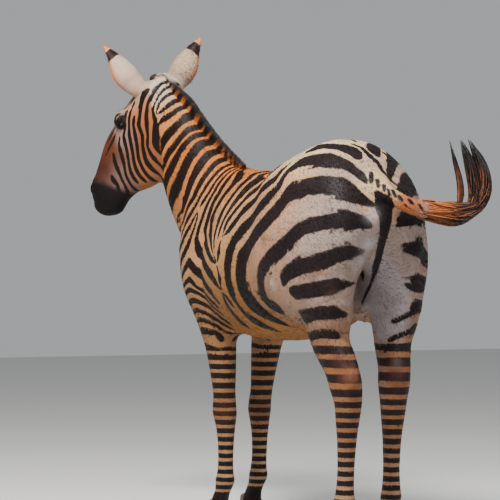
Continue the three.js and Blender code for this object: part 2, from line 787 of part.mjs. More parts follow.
function legParts(name) {
  const [kind, side] = name.split("_");
  const { top, joints } = legKind(name);
  const profile = kind === "fore" ? FORE : HIND;
  const rows = legRows(profile, LEG_LINES[name], side === "left" ? 1 : -1);
  const foot = hoofFrame(LEG_LINES[name], profile);
  const between = (from, to) => {
    const levels = planes(from + GAP / 2, to - GAP / 2, LEG_RISE);
    return ringSolid(levels.map((z) => legRing(name, rows, z)));
  };
  const pastern = trim(between(HOOF_HEIGHT * 0.45, joints[1]), hoofTop(foot), HOOF_SLOPE);
  const names = kind === "fore" ? ["forearm", "fore_cannon", "fore_pastern", "fore_hoof"]
    : ["gaskin", "hind_cannon", "hind_pastern", "hind_hoof"];
  return [
    meshOf(`${names[0]}_${side}`, between(joints[0], top), COAT),
    meshOf(`${names[1]}_${side}`, between(joints[1], joints[0]), COAT),
    meshOf(`${names[2]}_${side}`, largest(pastern), COAT),
    meshOf(`${names[3]}_${side}`, hoofSolid(foot), HORN),
  ];
}

// The dock's rings are ellipses, wider above or below the middle line as its rows say.
function dockSolid(grow = 0) {
  const line = smoothRows(DOCK, 3);
  const last = line.length - 1;
  const rings = line.map((row, i) => {
    const tangent = unit(sub(line[Math.min(i + 1, last)], line[Math.max(i - 1, 0)]).slice(0, 3));
    const up = unit(sub([0, 0, 1], scale(tangent, tangent[2])));
    const side = cross(tangent, up);
    const middle = i === 0 ? add(row.slice(0, 3), scale(tangent, -grow)) : row.slice(0, 3);
    return Array.from({ length: DOCK_SIDES }, (_, n) => {
      const turn = (2 * Math.PI * (n + 0.5)) / DOCK_SIDES;
      const [u, v] = [Math.cos(turn), Math.sin(turn)];
      const height = v > 0 ? row[4] : row[5];
      return add(middle, add(scale(side, (row[3] + grow) * u), scale(up, (height + grow) * v)));
    });
  });
  return ringSolid(rings);
}

function tailParts() {
  const dock = trim(dockSolid(), HAIR_CUT.point, flip(HAIR_CUT.normal));
  let hair = trim(lock(TAIL_HAIR, 12), HAIR_CUT.point, HAIR_CUT.normal);
  for (const rows of LOCKS) hair = hair.add(lock(rows, 8));
  return [meshOf("tail_dock", largest(dock), COAT), meshOf("tail_hair", largest(hair), DARK_HAIR)];
}

function eyeParts() {
  return ["left", "right"].map((side) => {
    const [h, d, l] = EYE_CENTRE;
    const centre = toWorld(HEAD, [h, d, side === "left" ? l : -l]);
    const ball = (radius) => {
      const geometry = new THREE.SphereGeometry(radius, 12, 8);
      geometry.translate(...centre);
      const position = geometry.getAttribute("position");
      const points = [];
      for (let i = 0; i < position.count; i += 1) points.push([position.getX(i), position.getY(i), position.getZ(i)]);
      const corners = geometry.getIndex().array;
      const triangles = [];
      for (let i = 0; i < corners.length; i += 3) triangles.push([corners[i], corners[i + 1], corners[i + 2]]);
      return solidFrom({ points, triangles });
    };
    return { name: `eye_${side}`, ball: ball(EYE_RADIUS), socket: ball(EYE_RADIUS + GAP) };
  });
}

function earParts() {
  return ["left", "right"].map((side) => meshOf(`ear_${side}`, earSolid(side), COAT));
}

function buildZebra() {
  const eyes = eyeParts();
  const parts = [
    trunkPart(),
    neckPart(),
    ...headParts(eyes),
    ...eyes.map((eye) => meshOf(eye.name, eye.ball, EYE)),
    ...earParts(),
    meshOf("mane", maneSolid(), DARK_HAIR),
    ...tailParts(),
    ...Object.keys(LEG_LINES).flatMap(legParts),
  ];
  return standOnOrigin(parts);
}

// Puts the middle of the whole box's floor at the origin.
function standOnOrigin(parts) {
  const group = new THREE.Group();
  group.name = "zebra";
  parts.forEach((part) => group.add(part));
  const bounds = new THREE.Box3().setFromObject(group);
  const centre = bounds.getCenter(new THREE.Vector3());
  for (const part of parts) part.geometry.translate(-centre.x, -centre.y, -bounds.min.z);
  return group;
}

export default buildZebra();
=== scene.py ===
"""Looks of a life-size standing zebra: one skin, its stripes, eyes, hooves, mane, tail and coat."""

import math

import bpy
import numpy as np
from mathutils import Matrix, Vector


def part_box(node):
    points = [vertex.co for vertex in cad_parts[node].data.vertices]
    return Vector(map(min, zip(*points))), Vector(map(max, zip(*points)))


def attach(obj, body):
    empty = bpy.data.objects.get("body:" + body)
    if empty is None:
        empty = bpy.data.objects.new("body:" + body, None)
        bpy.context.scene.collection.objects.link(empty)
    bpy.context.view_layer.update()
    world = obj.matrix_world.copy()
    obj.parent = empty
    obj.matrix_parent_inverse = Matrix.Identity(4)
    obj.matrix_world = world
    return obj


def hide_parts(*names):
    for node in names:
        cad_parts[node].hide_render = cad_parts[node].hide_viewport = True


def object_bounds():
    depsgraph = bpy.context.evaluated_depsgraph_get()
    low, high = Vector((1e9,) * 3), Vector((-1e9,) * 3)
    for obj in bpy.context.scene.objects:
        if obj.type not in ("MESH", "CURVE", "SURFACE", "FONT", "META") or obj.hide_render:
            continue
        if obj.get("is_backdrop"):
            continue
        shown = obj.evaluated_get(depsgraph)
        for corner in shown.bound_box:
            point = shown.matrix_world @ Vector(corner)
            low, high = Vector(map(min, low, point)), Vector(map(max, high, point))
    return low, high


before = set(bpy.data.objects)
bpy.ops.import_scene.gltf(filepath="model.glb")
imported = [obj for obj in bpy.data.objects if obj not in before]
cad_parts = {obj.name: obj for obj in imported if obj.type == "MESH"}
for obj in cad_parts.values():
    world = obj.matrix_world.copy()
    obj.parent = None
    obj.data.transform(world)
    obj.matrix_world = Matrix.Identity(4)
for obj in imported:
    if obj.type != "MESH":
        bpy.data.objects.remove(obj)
cad_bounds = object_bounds()

# ---------- driving dimensions, in millimetres in the body's own frame ----------
# +X is the animal's left, -Y is ahead of it and +Z is up.

SKIN_STEP = 13.0  # cell of the skin's net
COAT_DEPTH = 2.5  # how far the skin lies inside the solids
EYE_RADIUS = 19.5
LID_DEPTH = 2.2  # thickness of an eyelid over the eyeball

# Rows of the trunk: y, top, bottom, half width, share of the height below the widest level.
TRUNK = [
    [-440, 1040, 800, 85, 0.5],
    [-380, 1130, 730, 130, 0.48],
    [-280, 1225, 690, 180, 0.46],
    [-160, 1258, 670, 225, 0.44],
    [-40, 1250, 657, 262, 0.43],
    [80, 1247, 654, 285, 0.44],
    [200, 1260, 662, 286, 0.46],
    [320, 1297, 695, 268, 0.52],
    [430, 1336, 760, 240, 0.58],
    [530, 1343, 850, 202, 0.6],
    [600, 1322, 855, 188, 0.58],
    [660, 1250, 880, 145, 0.56],
    [705, 1165, 905, 92, 0.5],
]

# Rows of the neck: x, y, z, half width, up to the crest, down to the throat.
NECK = [
    [5, -200, 980, 120, 235, 240],
    [35, -310, 1085, 134, 195, 270],
    [78, -425, 1205, 118, 161, 225],
    [120, -515, 1320, 95, 143, 170],
    [156, -590, 1420, 78, 136, 140],
    [184, -645, 1500, 66, 104, 116],
]

# Head frame: h runs to the muzzle, d to the forehead, l to the left.
HEAD_ORIGIN = [203, -682, 1628]
HEAD_TURN = [26, 56, -4]

# Rows of the skull and jaw in the head frame: h, d, l, half width, dorsal, ventral.
SKULL = [
    [-14, -90, 0, 46, 34, 60],
    [40, -75, 0, 66, 64, 85],
    [100, -78, 0, 80, 92, 100],
    [170, -80, 0, 84, 108, 110],
    [240, -78, 0, 72, 114, 100],
    [320, -73, 0, 57, 117, 80],
    [400, -72, 0, 49, 103, 68],
    [455, -72, 0, 51, 90, 64],
    [500, -76, 0, 51, 77, 60],
    [530, -84, 0, 42, 56, 46],
]
JAW = [
    [100, -175, 0, 50, 60, 80],
    [160, -200, 0, 58, 60, 96],
    [230, -200, 0, 58, 60, 92],
    [310, -172, 0, 48, 50, 74],
    [390, -137, 0, 38, 40, 52],
    [460, -122, 0, 36, 40, 36],
    [505, -126, 0, 34, 35, 30],
]

# Profile of a foreleg and a hind leg: height, outward shift, rearward shift, half width, front, back.
FORE = [
    [980, 0, -60, 70, 130, 160],
    [860, 10, -30, 74, 125, 130],
    [740, 4, 0, 66, 90, 100],
    [640, 0, 4, 57, 67, 72],
    [550, 0, 2, 49, 53, 56],
    [470, 0, 0, 42.5, 43, 45],
    [420, 0, -4, 43, 44, 44],
    [385, 0, -4, 43.5, 44, 46],
    [340, 0, 0, 37, 36, 40],
    [285, 0, 2, 31, 28, 37],
    [215, 0, 2, 29, 26, 36],
    [170, 0, 0, 32, 29, 39],
    [148, 0, -2, 36, 33, 42],
    [110, 0, -20, 30, 29, 31],
    [80, 0, -38, 32, 32, 32],
    [45, 0, -50, 38, 38, 36],
]
HIND = [
    [1130, 0, -5, 122, 190, 205],
    [1000, 18, -20, 134, 212, 250],
    [880, 18, 0, 116, 185, 205],
    [800, 8, 30, 90, 150, 140],
    [750, 5, 20, 73, 120, 118],
    [670, 4, -8, 58, 86, 90],
    [595, 2, 0, 54, 68, 78],
    [530, 0, 6, 52, 56, 74],
    [475, 0, 10, 46, 49, 56],
    [415, 0, 6, 40, 42, 47],
    [345, 0, 2, 33, 34, 39],
    [250, 0, -2, 29, 29, 37],
    [185, 0, -4, 32, 32, 41],
    [155, 0, -6, 36, 36, 44],
    [114, 0, -26, 30, 31, 32],
    [82, 0, -44, 32, 33, 33],
    [45, 0, -56, 38, 39, 37],
]

# The line that each leg hangs along: height, x, y.
LEG_LINES = {
    "fore_left": [
        [1000, 135, -290], [800, 133, -260], [600, 112, -235], [400, 100, -225], [0, 105, -222],
    ],
    "fore_right": [
        [1000, -130, -300], [800, -130, -320], [600, -110, -345], [400, -100, -365], [0, -100, -390],
    ],
    "hind_left": [
        [1150, 125, 470], [1000, 130, 500], [860, 130, 585], [700, 118, 655],
        [600, 105, 705], [500, 97, 735], [300, 98, 735], [0, 104, 725],
    ],
    "hind_right": [
        [1150, -125, 465], [1000, -130, 495], [860, -130, 568], [700, -122, 640],
        [600, -115, 662], [500, -108, 660], [300, -114, 645], [0, -120, 635],
    ],
}

# Rows of the tail's dock: x, y, z, half width, up, down.
DOCK = [
    [0, 610, 1222, 44, 44, 44],
    [2, 680, 1216, 43, 38, 40],
    [6, 760, 1195, 34, 30, 32],
    [-10, 825, 1155, 28, 26, 27],
    [-55, 870, 1118, 27, 28, 28],
    [-110, 885, 1102, 27, 32, 31],
]

# Small rounded masses: centre, radii, blend.
SHOULDER = [[110, -330, 1020], [75, 110, 190], 80]
BUTTOCK = [[106, 672, 1030], [96, 142, 195], 70]
BROW = [[185, -16, 68], [42, 26, 30], 30]
NOSTRIL_SWELL = [[466, -40, 34], [42, 34, 26], 30]
EAR_ROOT = [[45, -55, 60], [35, 32, 24], 40]
EYE_CENTRE = np.array([190.0, -34.0, 73.0])


# ---------- rounded shapes as signed distances (negative inside) ----------


def unit(v):
    v = np.asarray(v, float)
    return v / np.maximum(np.linalg.norm(v, axis=-1, keepdims=True), 1e-12)


def folded(points, axis=2):
    """Points with the right half brought to the left: axis 2 in the head frame, 0 in the body's."""
    out = points.copy()
    out[:, axis] = np.abs(out[:, axis])
    return out


def smooth_rows(rows, steps=5):
    """Catmull-Rom curve through rows of any length."""
    rows = np.asarray(rows, float)
    out = []
    for i in range(len(rows) - 1):
        p0, p1, p2, p3 = rows[max(i - 1, 0)], rows[i], rows[i + 1], rows[min(i + 2, len(rows) - 1)]
        for t in np.arange(steps) / steps:
            cubic = (3 * p1 - p0 - 3 * p2 + p3) * t**3
            square = (2 * p0 - 5 * p1 + 4 * p2 - p3) * t**2
            out.append(0.5 * (2 * p1 + (p2 - p0) * t + square + cubic))
    out.append(rows[-1])
    return np.array(out)


def head_axes(yaw, pitch, roll):
    y, p, r = np.radians([yaw, pitch, roll])
    ahead = np.array([math.sin(y), -math.cos(y), 0])
    left = np.array([math.cos(y), math.sin(y), 0])
    up = np.array([0, 0, 1.0])
    h = ahead * math.cos(p) - up * math.sin(p)
    d = ahead * math.sin(p) + up * math.cos(p)
    return np.array([h, d * math.cos(r) - left * math.sin(r), left * math.cos(r) + d * math.sin(r)])


HEAD_O = np.array(HEAD_ORIGIN, float)
HEAD_AXES = head_axes(*HEAD_TURN)
HEAD = (HEAD_O, HEAD_AXES)
WORLD = (np.zeros(3), np.eye(3))


def to_world(local, frame_of=HEAD):
    return np.asarray(local, float) @ frame_of[1] + frame_of[0]


def to_local(points, frame_of=HEAD):
    return (points - frame_of[0]) @ frame_of[1].T


class Loft:
    """A swept shape: rows of x, y, z, side, up, down; reference is the way its "up" leans."""

    def __init__(self, rows, reference, blend, power=2.0, frame_of=WORLD):
        line = smooth_rows(rows)
        self.at, self.radii = line[:, :3], line[:, 3:6]
        around = np.vstack([self.at[1:], self.at[-1:]]) - np.vstack([self.at[:1], self.at[:-1]])
        self.tangent = unit(around)
        reference = np.asarray(reference, float)
        self.up = unit(reference - (self.tangent @ reference)[:, None] * self.tangent)
        self.side = np.cross(self.tangent, self.up)
        self.blend, self.power, self.frame = blend, power, frame_of
        reach = self.radii.max()
        world = to_world(self.at, frame_of)
        self.low, self.high = world.min(0) - reach, world.max(0) + reach

    def distance(self, points):
        p = to_local(points, self.frame)
        best = np.full(len(p), np.inf)
        index = np.zeros(len(p), int)
        share = np.zeros(len(p))
        for i in range(len(self.at) - 1):
            run = self.at[i + 1] - self.at[i]
            q = p - self.at[i]
            t = np.clip(q @ run / (run @ run), 0, 1)
            gap = q - t[:, None] * run
            squared = np.einsum("ij,ij->i", gap, gap)
            closer = squared < best
            best[closer], index[closer], share[closer] = squared[closer], i, t[closer]

        def between(values):
            t = share[:, None]
            return values[index] * (1 - t) + values[index + 1] * t

        q = p - between(self.at)
        radii = between(self.radii)
        u = (q * between(self.side)).sum(1)
        v = (q * between(self.up)).sum(1)
        ends = (index == 0) | (index == len(self.at) - 2)
        along = np.where(ends, (q * between(self.tangent)).sum(1), 0.0)
        height = np.where(v > 0, radii[:, 1], radii[:, 2])
        shares = [np.abs(u / radii[:, 0]), np.abs(v / height), np.abs(along / radii.min(1))]
        k = sum(s**self.power for s in shares) ** (1 / self.power)
        length = np.sqrt(u * u + v * v + along * along)
        core = -np.minimum(radii[:, 0], height) * (1 - k)
        return np.where(k > 0.2, length - length / np.maximum(k, 1e-6), core)


class Ellipsoid:
    def __init__(self, centre, radii, blend, frame_of=WORLD):
        self.centre, self.radii = np.array(centre, float), np.array(radii, float)
        self.blend, self.frame = blend, frame_of
        middle = to_world(self.centre, frame_of)
        self.low, self.high = middle - self.radii.max(), middle + self.radii.max()

    def distance(self, points):
        q = to_local(points, self.frame) - self.centre
        k0 = np.linalg.norm(q / self.radii, axis=1)
        k1 = np.linalg.norm(q / self.radii**2, axis=1)
        return np.where(k0 > 1e-3, k0 * (k0 - 1) / np.maximum(k1, 1e-9), -self.radii.min())


def mirrored(mass, side, frame_of=WORLD):
    """One of a pair of rounded masses: side is 1 for the left, -1 for the right."""
    centre, radii, blend = mass
    centre = np.array(centre, float)
    centre[0 if frame_of is WORLD else 2] *= side
    return Ellipsoid(centre, radii, blend, frame_of)


def smooth_min(a, b, blend):
    h = np.maximum(blend - np.abs(a - b), 0) / blend
    return np.minimum(a, b) - h * h * blend * 0.25


def trunk_rows():
    out = []
    for y, top, bottom, half, share in TRUNK:
        z = bottom + (top - bottom) * share
        out.append([0, y, z, half, top - z, z - bottom])
    return out


def line_at(line, z):
    """x and y of a leg's line at a height."""
    rows = np.array(sorted(line))
    return np.interp(z, rows[:, 0], rows[:, 1]), np.interp(z, rows[:, 0], rows[:, 2])


def leg_rows(name):
    side = 1 if name.endswith("left") else -1
    out = []
    for z, outward, rearward, half, front, back in FORE if name.startswith("fore") else HIND:
        x, y = line_at(LEG_LINES[name], z)
        out.append([x + side * outward, y + rearward, z, half, front, back])
    return out


def body_shapes():
    shapes = [Loft(trunk_rows(), [0, 0, 1], 50, 2.1), Loft(NECK, [0, 0.55, 1], 80)]
    for name in LEG_LINES:
        side = 1 if name.endswith("left") else -1
        shapes.append(Loft(leg_rows(name), [0, -1, 0], 60))
        shapes.append(mirrored(SHOULDER if name.startswith("fore") else BUTTOCK, side))
    shapes.append(Loft(SKULL, [0, 1, 0], 50, 2.0, HEAD))
    shapes.append(Loft(JAW, [0, 1, 0], 40, 2.0, HEAD))
    for side in (1, -1):
        shapes.extend(mirrored(mass, side, HEAD) for mass in (BROW, NOSTRIL_SWELL, EAR_ROOT))
    shapes.append(Loft(DOCK, [0, 0, 1], 45))
    return shapes


SHAPES = body_shapes()
MARGIN = 110.0  # beyond this a shape can't change the surface
FAR_AWAY = 1000.0  # a distance to start from
BOX_ALLOWANCE = 20.0  # how much nearer a shape's box may be than the shape


def body_distance(points):
    out = np.full(len(points), FAR_AWAY)
    for shape in SHAPES:
        beyond = np.maximum(np.maximum(shape.low - points, points - shape.high), 0)
        away = np.linalg.norm(beyond, axis=1)
        near = away < MARGIN
        if near.any():
            out[near] = smooth_min(out[near], shape.distance(points[near]), shape.blend)
        out[~near] = np.minimum(out[~near], away[~near] + BOX_ALLOWANCE)
    return out


# ---------- details that only the skin has ----------

# Gentle swellings: frame, centre, radii, height (positive stands out). Mirrored to both sides.
SWELLINGS = [
    (WORLD, [205, -250, 930], [60, 60, 120], 7),  # muscle over the elbow
    (WORLD, [215, -170, 1060], [60, 26, 140], -7),  # hollow behind the shoulder blade
    (WORLD, [180, -330, 1080], [60, 30, 150], 6),  # ridge of the shoulder blade
    (WORLD, [245, 400, 1190], [70, 60, 50], 8),  # point of the hip
    (WORLD, [255, 330, 1060], [80, 70, 110], -9),  # hollow of the flank
    (WORLD, [255, 470, 960], [60, 90, 110], 8),  # thigh
    (WORLD, [170, 720, 900], [60, 60, 140], -6),  # groove down the hamstring
    (HEAD, [190, -150, 62], [60, 55, 30], 5),  # cheek
    (HEAD, [265, -62, 60], [60, 10, 22], 5),  # ridge below the eye
    (HEAD, [300, -105, 50], [55, 30, 22], -5),  # hollow above the jaw's bar
    (HEAD, [150, -8, 60], [26, 18, 16], -6),  # hollow above the eye
    (HEAD, [350, -10, 36], [70, 26, 16], -3),  # side of the nose
    (HEAD, [488, -118, 26], [30, 14, 22], 4),  # lower lip
    (HEAD, [505, -75, 30], [26, 18, 22], 4),  # upper lip
]

# Knobs and hollows of the leg joints: leg, height, outward, forward, radii, height of the swelling.
JOINTS = [
    ("fore", 400, 30, 20, [20, 22, 32], 4),
    ("fore", 400, 0, 42, [26, 14, 30], 5),
    ("fore", 372, 0, -44, [16, 14, 20], 5),
    ("fore", 152, 0, -42, [20, 14, 18], 5),
    ("hind", 530, 34, 0, [16, 34, 34], 4),
    ("hind", 548, 0, -78, [18, 22, 30], 12),
    ("hind", 610, 30, -40, [30, 22, 60], -7),
    ("hind", 158, 0, -46, [20, 14, 18], 5),
]

# The eye's own frame: the way out of the head, and about the way along the face.
EYE_OUT = np.array([-0.05, 0.22, 0.97])
EYE_FORWARD = np.array([0.96, -0.28, 0.0])
EYE_OPENING = (21.0, 9.5, 14.0)  # along the face, across the lids, into the head
OPENING_LIFT = 0.5
LID_BLEND = 9.0
# Folds over and under the lids in the eye's frame: centre, radii.
LID_FOLDS = [([0, 14.5, 16], [26, 2.2, 12]), ([0, -14, 15], [22, 2.2, 12])]
LID_FOLD_HEIGHT = 1.6
LID_FOLD_REACH = 40.0
NOSTRIL = ([478, -34, 47], [21, 10, 13])
NOSTRIL_TILT = math.radians(-28)
NOSTRIL_RIM = 3.5  # height of the rim
RIM_PLACE = 1.45  # where the rim is highest, in the nostril's own radii
RIM_SPREAD = 0.4
OPENING_SLOPE = 9.0  # millimetres of depth for one radius of the eye's opening or the nostril
MOUTH = [[540, -112, 0], [528, -108, 26], [500, -104, 44], [462, -100, 50], [430, -98, 47]]
MOUTH_DEPTH = 5.0
MOUTH_WIDTH = 5.0
FACE_START = 60.0  # the eyes, nostrils and mouth lie further along the head than this


def segment_distance(points, line):
    """Distance from each point to the nearest place on a line of points."""
    best = np.full(len(points), np.inf)
    line = np.asarray(line, float)
    for a, b in zip(line[:-1], line[1:]):
        t = np.clip((points - a) @ (b - a) / ((b - a) @ (b - a)), 0, 1)
        best = np.minimum(best, np.linalg.norm(points - a - t[:, None] * (b - a), axis=1))
    return best


def gauss(points, centre, radii):
    q = (points - np.asarray(centre, float)) / np.asarray(radii, float)
    return np.exp(-(q**2).sum(1))


def swelling(points, local):
    """How far the details raise the skin at each point."""
    out = np.zeros(len(points))
    for place, centre, radii, height in SWELLINGS:
        q = folded(points, 0) if place is WORLD else folded(local)
        out += height * gauss(q, centre, radii)
    for kind, z, outward, forward, radii, height in JOINTS:
        for name, line in LEG_LINES.items():
            if name.startswith(kind):
                side = 1 if name.endswith("left") else -1
                x, y = line_at(line, z)
                out += height * gauss(points, [x + side * outward, y - forward, z], radii)
    return out


def eye_frame(local):
    """Points in the head frame as seen from the left or right eyeball's centre: along, up, out."""
    q = folded(local) - EYE_CENTRE
    out = unit(EYE_OUT)
    along = unit(EYE_FORWARD - out * (EYE_FORWARD @ out))
    up = np.cross(out, along)
    return np.stack([q @ along, q @ up, q @ out], 1)


def with_eyes(value, local):
    """Lays lids over the eyeballs, folds them and opens them."""
    eye = eye_frame(local)
    ball = np.linalg.norm(eye, axis=1) - EYE_RADIUS
    close = np.exp(-((ball / LID_FOLD_REACH) ** 2))
    value = smooth_min(value, ball - LID_DEPTH, LID_BLEND)
    value += LID_FOLD_HEIGHT * sum(gauss(eye, *fold) for fold in LID_FOLDS) * close
    almond = np.linalg.norm((eye - [0, OPENING_LIFT, EYE_RADIUS]) / EYE_OPENING, axis=1) - 1
    return -smooth_min(-value, almond * OPENING_SLOPE, 2)


def with_nostrils(value, side):
    """Raises a rim round each nostril and hollows it out."""
    centre, radii = NOSTRIL
    h, d, l = (side - centre).T
    c, s = math.cos(NOSTRIL_TILT), math.sin(NOSTRIL_TILT)
    tilted = np.stack([h * c - d * s, h * s + d * c, l], 1)
    k = np.linalg.norm(tilted / radii, axis=1)
    value -= NOSTRIL_RIM * np.exp(-(((k - RIM_PLACE) / RIM_SPREAD) ** 2))
    return -smooth_min(-value, (k - 1) * OPENING_SLOPE, 4)


def skin_distance(points):
    """Signed distance to the skin: the solids' shape less the coat's depth, with the finer forms."""
    local = to_local(points)
    out = body_distance(points) + COAT_DEPTH - swelling(points, local)
    face = local[:, 0] > FACE_START
    if face.any():
        side = folded(local[face])
        value = with_nostrils(with_eyes(out[face], side), side)
        out[face] = value + MOUTH_DEPTH * np.exp(-((segment_distance(side, MOUTH) / MOUTH_WIDTH) ** 2))
    return out


# ---------- from a signed distance to a net of faces ----------


def grid_values(distance, axes, coarse=4):
    """Samples the distance finely near the surface and coarsely elsewhere."""
    picks = [np.arange(0, len(a), coarse) for a in axes]
    mesh = np.meshgrid(*[a[p] for a, p in zip(axes, picks)], indexing="ij")
    rough = distance(np.stack(mesh, -1).reshape(-1, 3)).reshape(mesh[0].shape)
    nearest = [np.round(np.arange(len(axis)) / coarse).astype(int) for axis in axes]
    values = rough[np.ix_(*[near.clip(0, len(pick) - 1) for near, pick in zip(nearest, picks)])]
    active = np.argwhere(np.abs(values) < coarse * (axes[0][1] - axes[0][0]))
    points = np.stack([axes[i][active[:, i]] for i in range(3)], 1)
    values[tuple(active.T)] = distance(points)
    return values


def surface_net(distance, low, high, step):
    """Surface nets: a point in each cell that the surface crosses, and quads between those points."""
    axes = [np.arange(a, b + step, step) for a, b in zip(low, high)]
    values = grid_values(distance, axes)
    inside = values < 0
    count = sum(
        inside[a : a - 1 or None, b : b - 1 or None, c : c - 1 or None].astype(np.uint8)
        for a in (0, 1)
        for b in (0, 1)
        for c in (0, 1)
    )
    crossed = (count > 0) & (count < 8)
    cells = np.argwhere(crossed)
    number = np.full(crossed.shape, -1)
    number[crossed] = np.arange(len(cells))
    total = np.zeros((len(cells), 3))
    hits = np.zeros(len(cells))
    for axis in range(3):
        for a in (0, 1):
            for b in (0, 1):
                start = np.zeros(3, int)
                start[(axis + 1) % 3], start[(axis + 2) % 3] = a, b
                end = start.copy()
                end[axis] = 1
                i, j = cells + start, cells + end
                f, g = values[tuple(i.T)], values[tuple(j.T)]
                crosses = (f < 0) != (g < 0)
                t = np.where(crosses, f / np.where(crosses, f - g, 1), 0)[:, None]
                place = (i + (j - i) * t) * step + np.asarray(low, float)
                total[crosses] += place[crosses]
                hits[crosses] += 1
    return total / hits[:, None], net_faces(inside, number)


def net_faces(inside, number):
    """A quad between the four cells round each grid edge that runs from inside to outside."""
    faces = []
    for axis in range(3):
        first = np.take(inside, range(inside.shape[axis] - 1), axis)
        second = np.take(inside, range(1, inside.shape[axis]), axis)
        edges = np.argwhere(first != second)
        u, w = (axis + 1) % 3, (axis + 2) % 3
        fits = (edges[:, u] > 0) & (edges[:, w] > 0)
        fits &= (edges[:, u] < inside.shape[u] - 1) & (edges[:, w] < inside.shape[w] - 1)
        edges = edges[fits]
        ring = []
        for du, dw in ((-1, -1), (0, -1), (0, 0), (-1, 0)):
            cell = edges.copy()
            cell[:, u] += du
            cell[:, w] += dw
            ring.append(number[tuple(cell.T)])
        quads = np.stack(ring, 1)
        outward = first[tuple(edges.T)]
        quads[~outward] = quads[~outward][:, ::-1]
        faces.append(quads)
    return np.concatenate(faces)


LEAST_SLOPE = 0.2  # keeps a step short where the distance hardly changes


def slope(distance, points, step=1.5):
    """Gradient of a distance, from the four corners of a small tetrahedron."""
    corners = np.array([[1, -1, -1], [-1, -1, 1], [-1, 1, -1], [1, 1, 1]], float)
    total = np.zeros_like(points)
    for corner in corners:
        total += corner * distance(points + corner * step)[:, None]
    return total / (4 * step)


def settle(distance, points, steps=2, furthest=6.0):
    """Moves points along the slope to where the distance is nought."""
    for _ in range(steps):
        way = slope(distance, points)
        size = np.maximum((way**2).sum(1), LEAST_SLOPE)
        move = -way * (distance(points) / size)[:, None]
        length = np.linalg.norm(move, axis=1)
        points = points + move * np.minimum(1, furthest / np.maximum(length, 1e-9))[:, None]
    return points


def relax(points, edges, rounds=1, share=0.5):
    """Moves each point towards the middle of its neighbours."""
    degree = np.bincount(edges.ravel(), minlength=len(points)).astype(float)[:, None]
    for _ in range(rounds):
        total = np.zeros_like(points)
        for axis in range(3):
            total[:, axis] += np.bincount(edges[:, 0], points[edges[:, 1], axis], len(points))
            total[:, axis] += np.bincount(edges[:, 1], points[edges[:, 0], axis], len(points))
        points = points + share * (total / np.maximum(degree, 1) - points)
    return points


# ---------- places, meshes and attributes ----------

RNG = np.random.default_rng(7)
eye_low, eye_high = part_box("eye_left")
BODY_SHIFT = np.array((eye_low + eye_high) / 2) * 1000 - to_world(EYE_CENTRE)


def metres(points):
    """From millimetres in the body's frame to metres in the CAD's frame."""
    return (np.asarray(points, float) + BODY_SHIFT) / 1000


def add_object(name, data):
    obj = bpy.data.objects.new(name, data)
    bpy.context.scene.collection.objects.link(obj)
    return obj


def mesh_object(name, points, faces, material):
    """A new object from points in the body's frame and faces that all have as many corners."""
    faces = np.asarray(faces, np.int32)
    mesh = bpy.data.meshes.new(name)
    mesh.vertices.add(len(points))
    mesh.vertices.foreach_set("co", metres(points).astype(np.float32).ravel())
    mesh.loops.add(faces.size)
    mesh.loops.foreach_set("vertex_index", faces.ravel())
    mesh.polygons.add(len(faces))
    mesh.polygons.foreach_set("loop_start", np.arange(0, faces.size, faces.shape[1], dtype=np.int32))
    mesh.polygons.foreach_set("use_smooth", np.full(len(faces), True))
    mesh.update(calc_edges=True)
    mesh.validate()
    mesh.materials.append(material)
    return add_object(name, mesh)


def give_values(obj, values):
    """Writes named values on the object's points: one number each, or a colour."""
    for name, value in values.items():
        value = np.asarray(value, np.float32)
        if value.ndim == 1:
            layer = obj.data.attributes.new(name, "FLOAT", "POINT")
            layer.data.foreach_set("value", value)
        else:
            layer = obj.data.attributes.new(name, "FLOAT_COLOR", "POINT")
            colour = np.concatenate([value, np.ones((len(value), 1), np.float32)], 1)
            layer.data.foreach_set("color", colour.ravel())


def declare(obj, slot_name, *nodes):
    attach(obj, "root")
    if nodes:
        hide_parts(*nodes)


def grid_faces(rows, columns):
    """Quads between closed rings of points."""
    r, c = np.meshgrid(np.arange(rows - 1) * columns, np.arange(columns), indexing="ij")
    n = (c + 1) % columns
    return np.stack([r + c, r + n, r + columns + n, r + columns + c], -1).reshape(-1, 4)


def halved(quads):
    """Two triangles for each quad."""
    return np.concatenate([quads[:, [0, 1, 2]], quads[:, [0, 2, 3]]])


def cap(start, columns, middle, flip):
    """Triangles from a ring of points to one middle point."""
    n = np.arange(columns)
    fan = np.stack([start + n, start + (n + 1) % columns, np.full(columns, middle)], 1)
    return fan if flip else fan[:, ::-1]


def capped(rows, columns, flip=False):
    """A grid of rings closed at both ends by two middle points that follow the rings."""
    count = rows * columns
    quads = grid_faces(rows, columns)
    ends = [cap(0, columns, count, flip), cap(count - columns, columns, count + 1, not flip)]
    return np.concatenate([halved(quads[:, ::-1] if flip else quads), *ends])


def smoothstep(low, high, x):
    t = np.clip((np.asarray(x, float) - low) / (high - low), 0, 1)
    return t * t * (3 - 2 * t)


def part_way(a, b, share):
    return a * (1 - share) + b * share


def mixed(a, b, share):
    """Colours between two others, by one share for each point."""
    return part_way(a, b, np.asarray(share, float)[:, None])


def srgb(red, green, blue):
    """A colour from its 0 to 255 values as a linear one."""
    c = np.array([red, green, blue]) / 255
    return np.where(c <= 0.04045, c / 12.92, ((c + 0.055) / 1.055) ** 2.4)


# ---------- the camera of the photograph ----------

# Fitted to the photograph's outline together with the animal's size and pose, in the body's frame.
CAMERA_PLACE = np.array([3884.85, 8290.63, 971.92])
CAMERA_AHEAD = unit([-0.41469, -0.90996, 0])
CAMERA_RIGHT = np.cross(CAMERA_AHEAD, [0, 0, 1])
PHOTO_SIZE = 500
FOCAL_PIXELS = 2600.0
SENSOR = 36.0
SIGHT_START = 7500.0  # how far from the camera the search for the body starts
SIGHT_STEPS = 90
SIGHT_GAP = 0.5  # this near counts as on the body


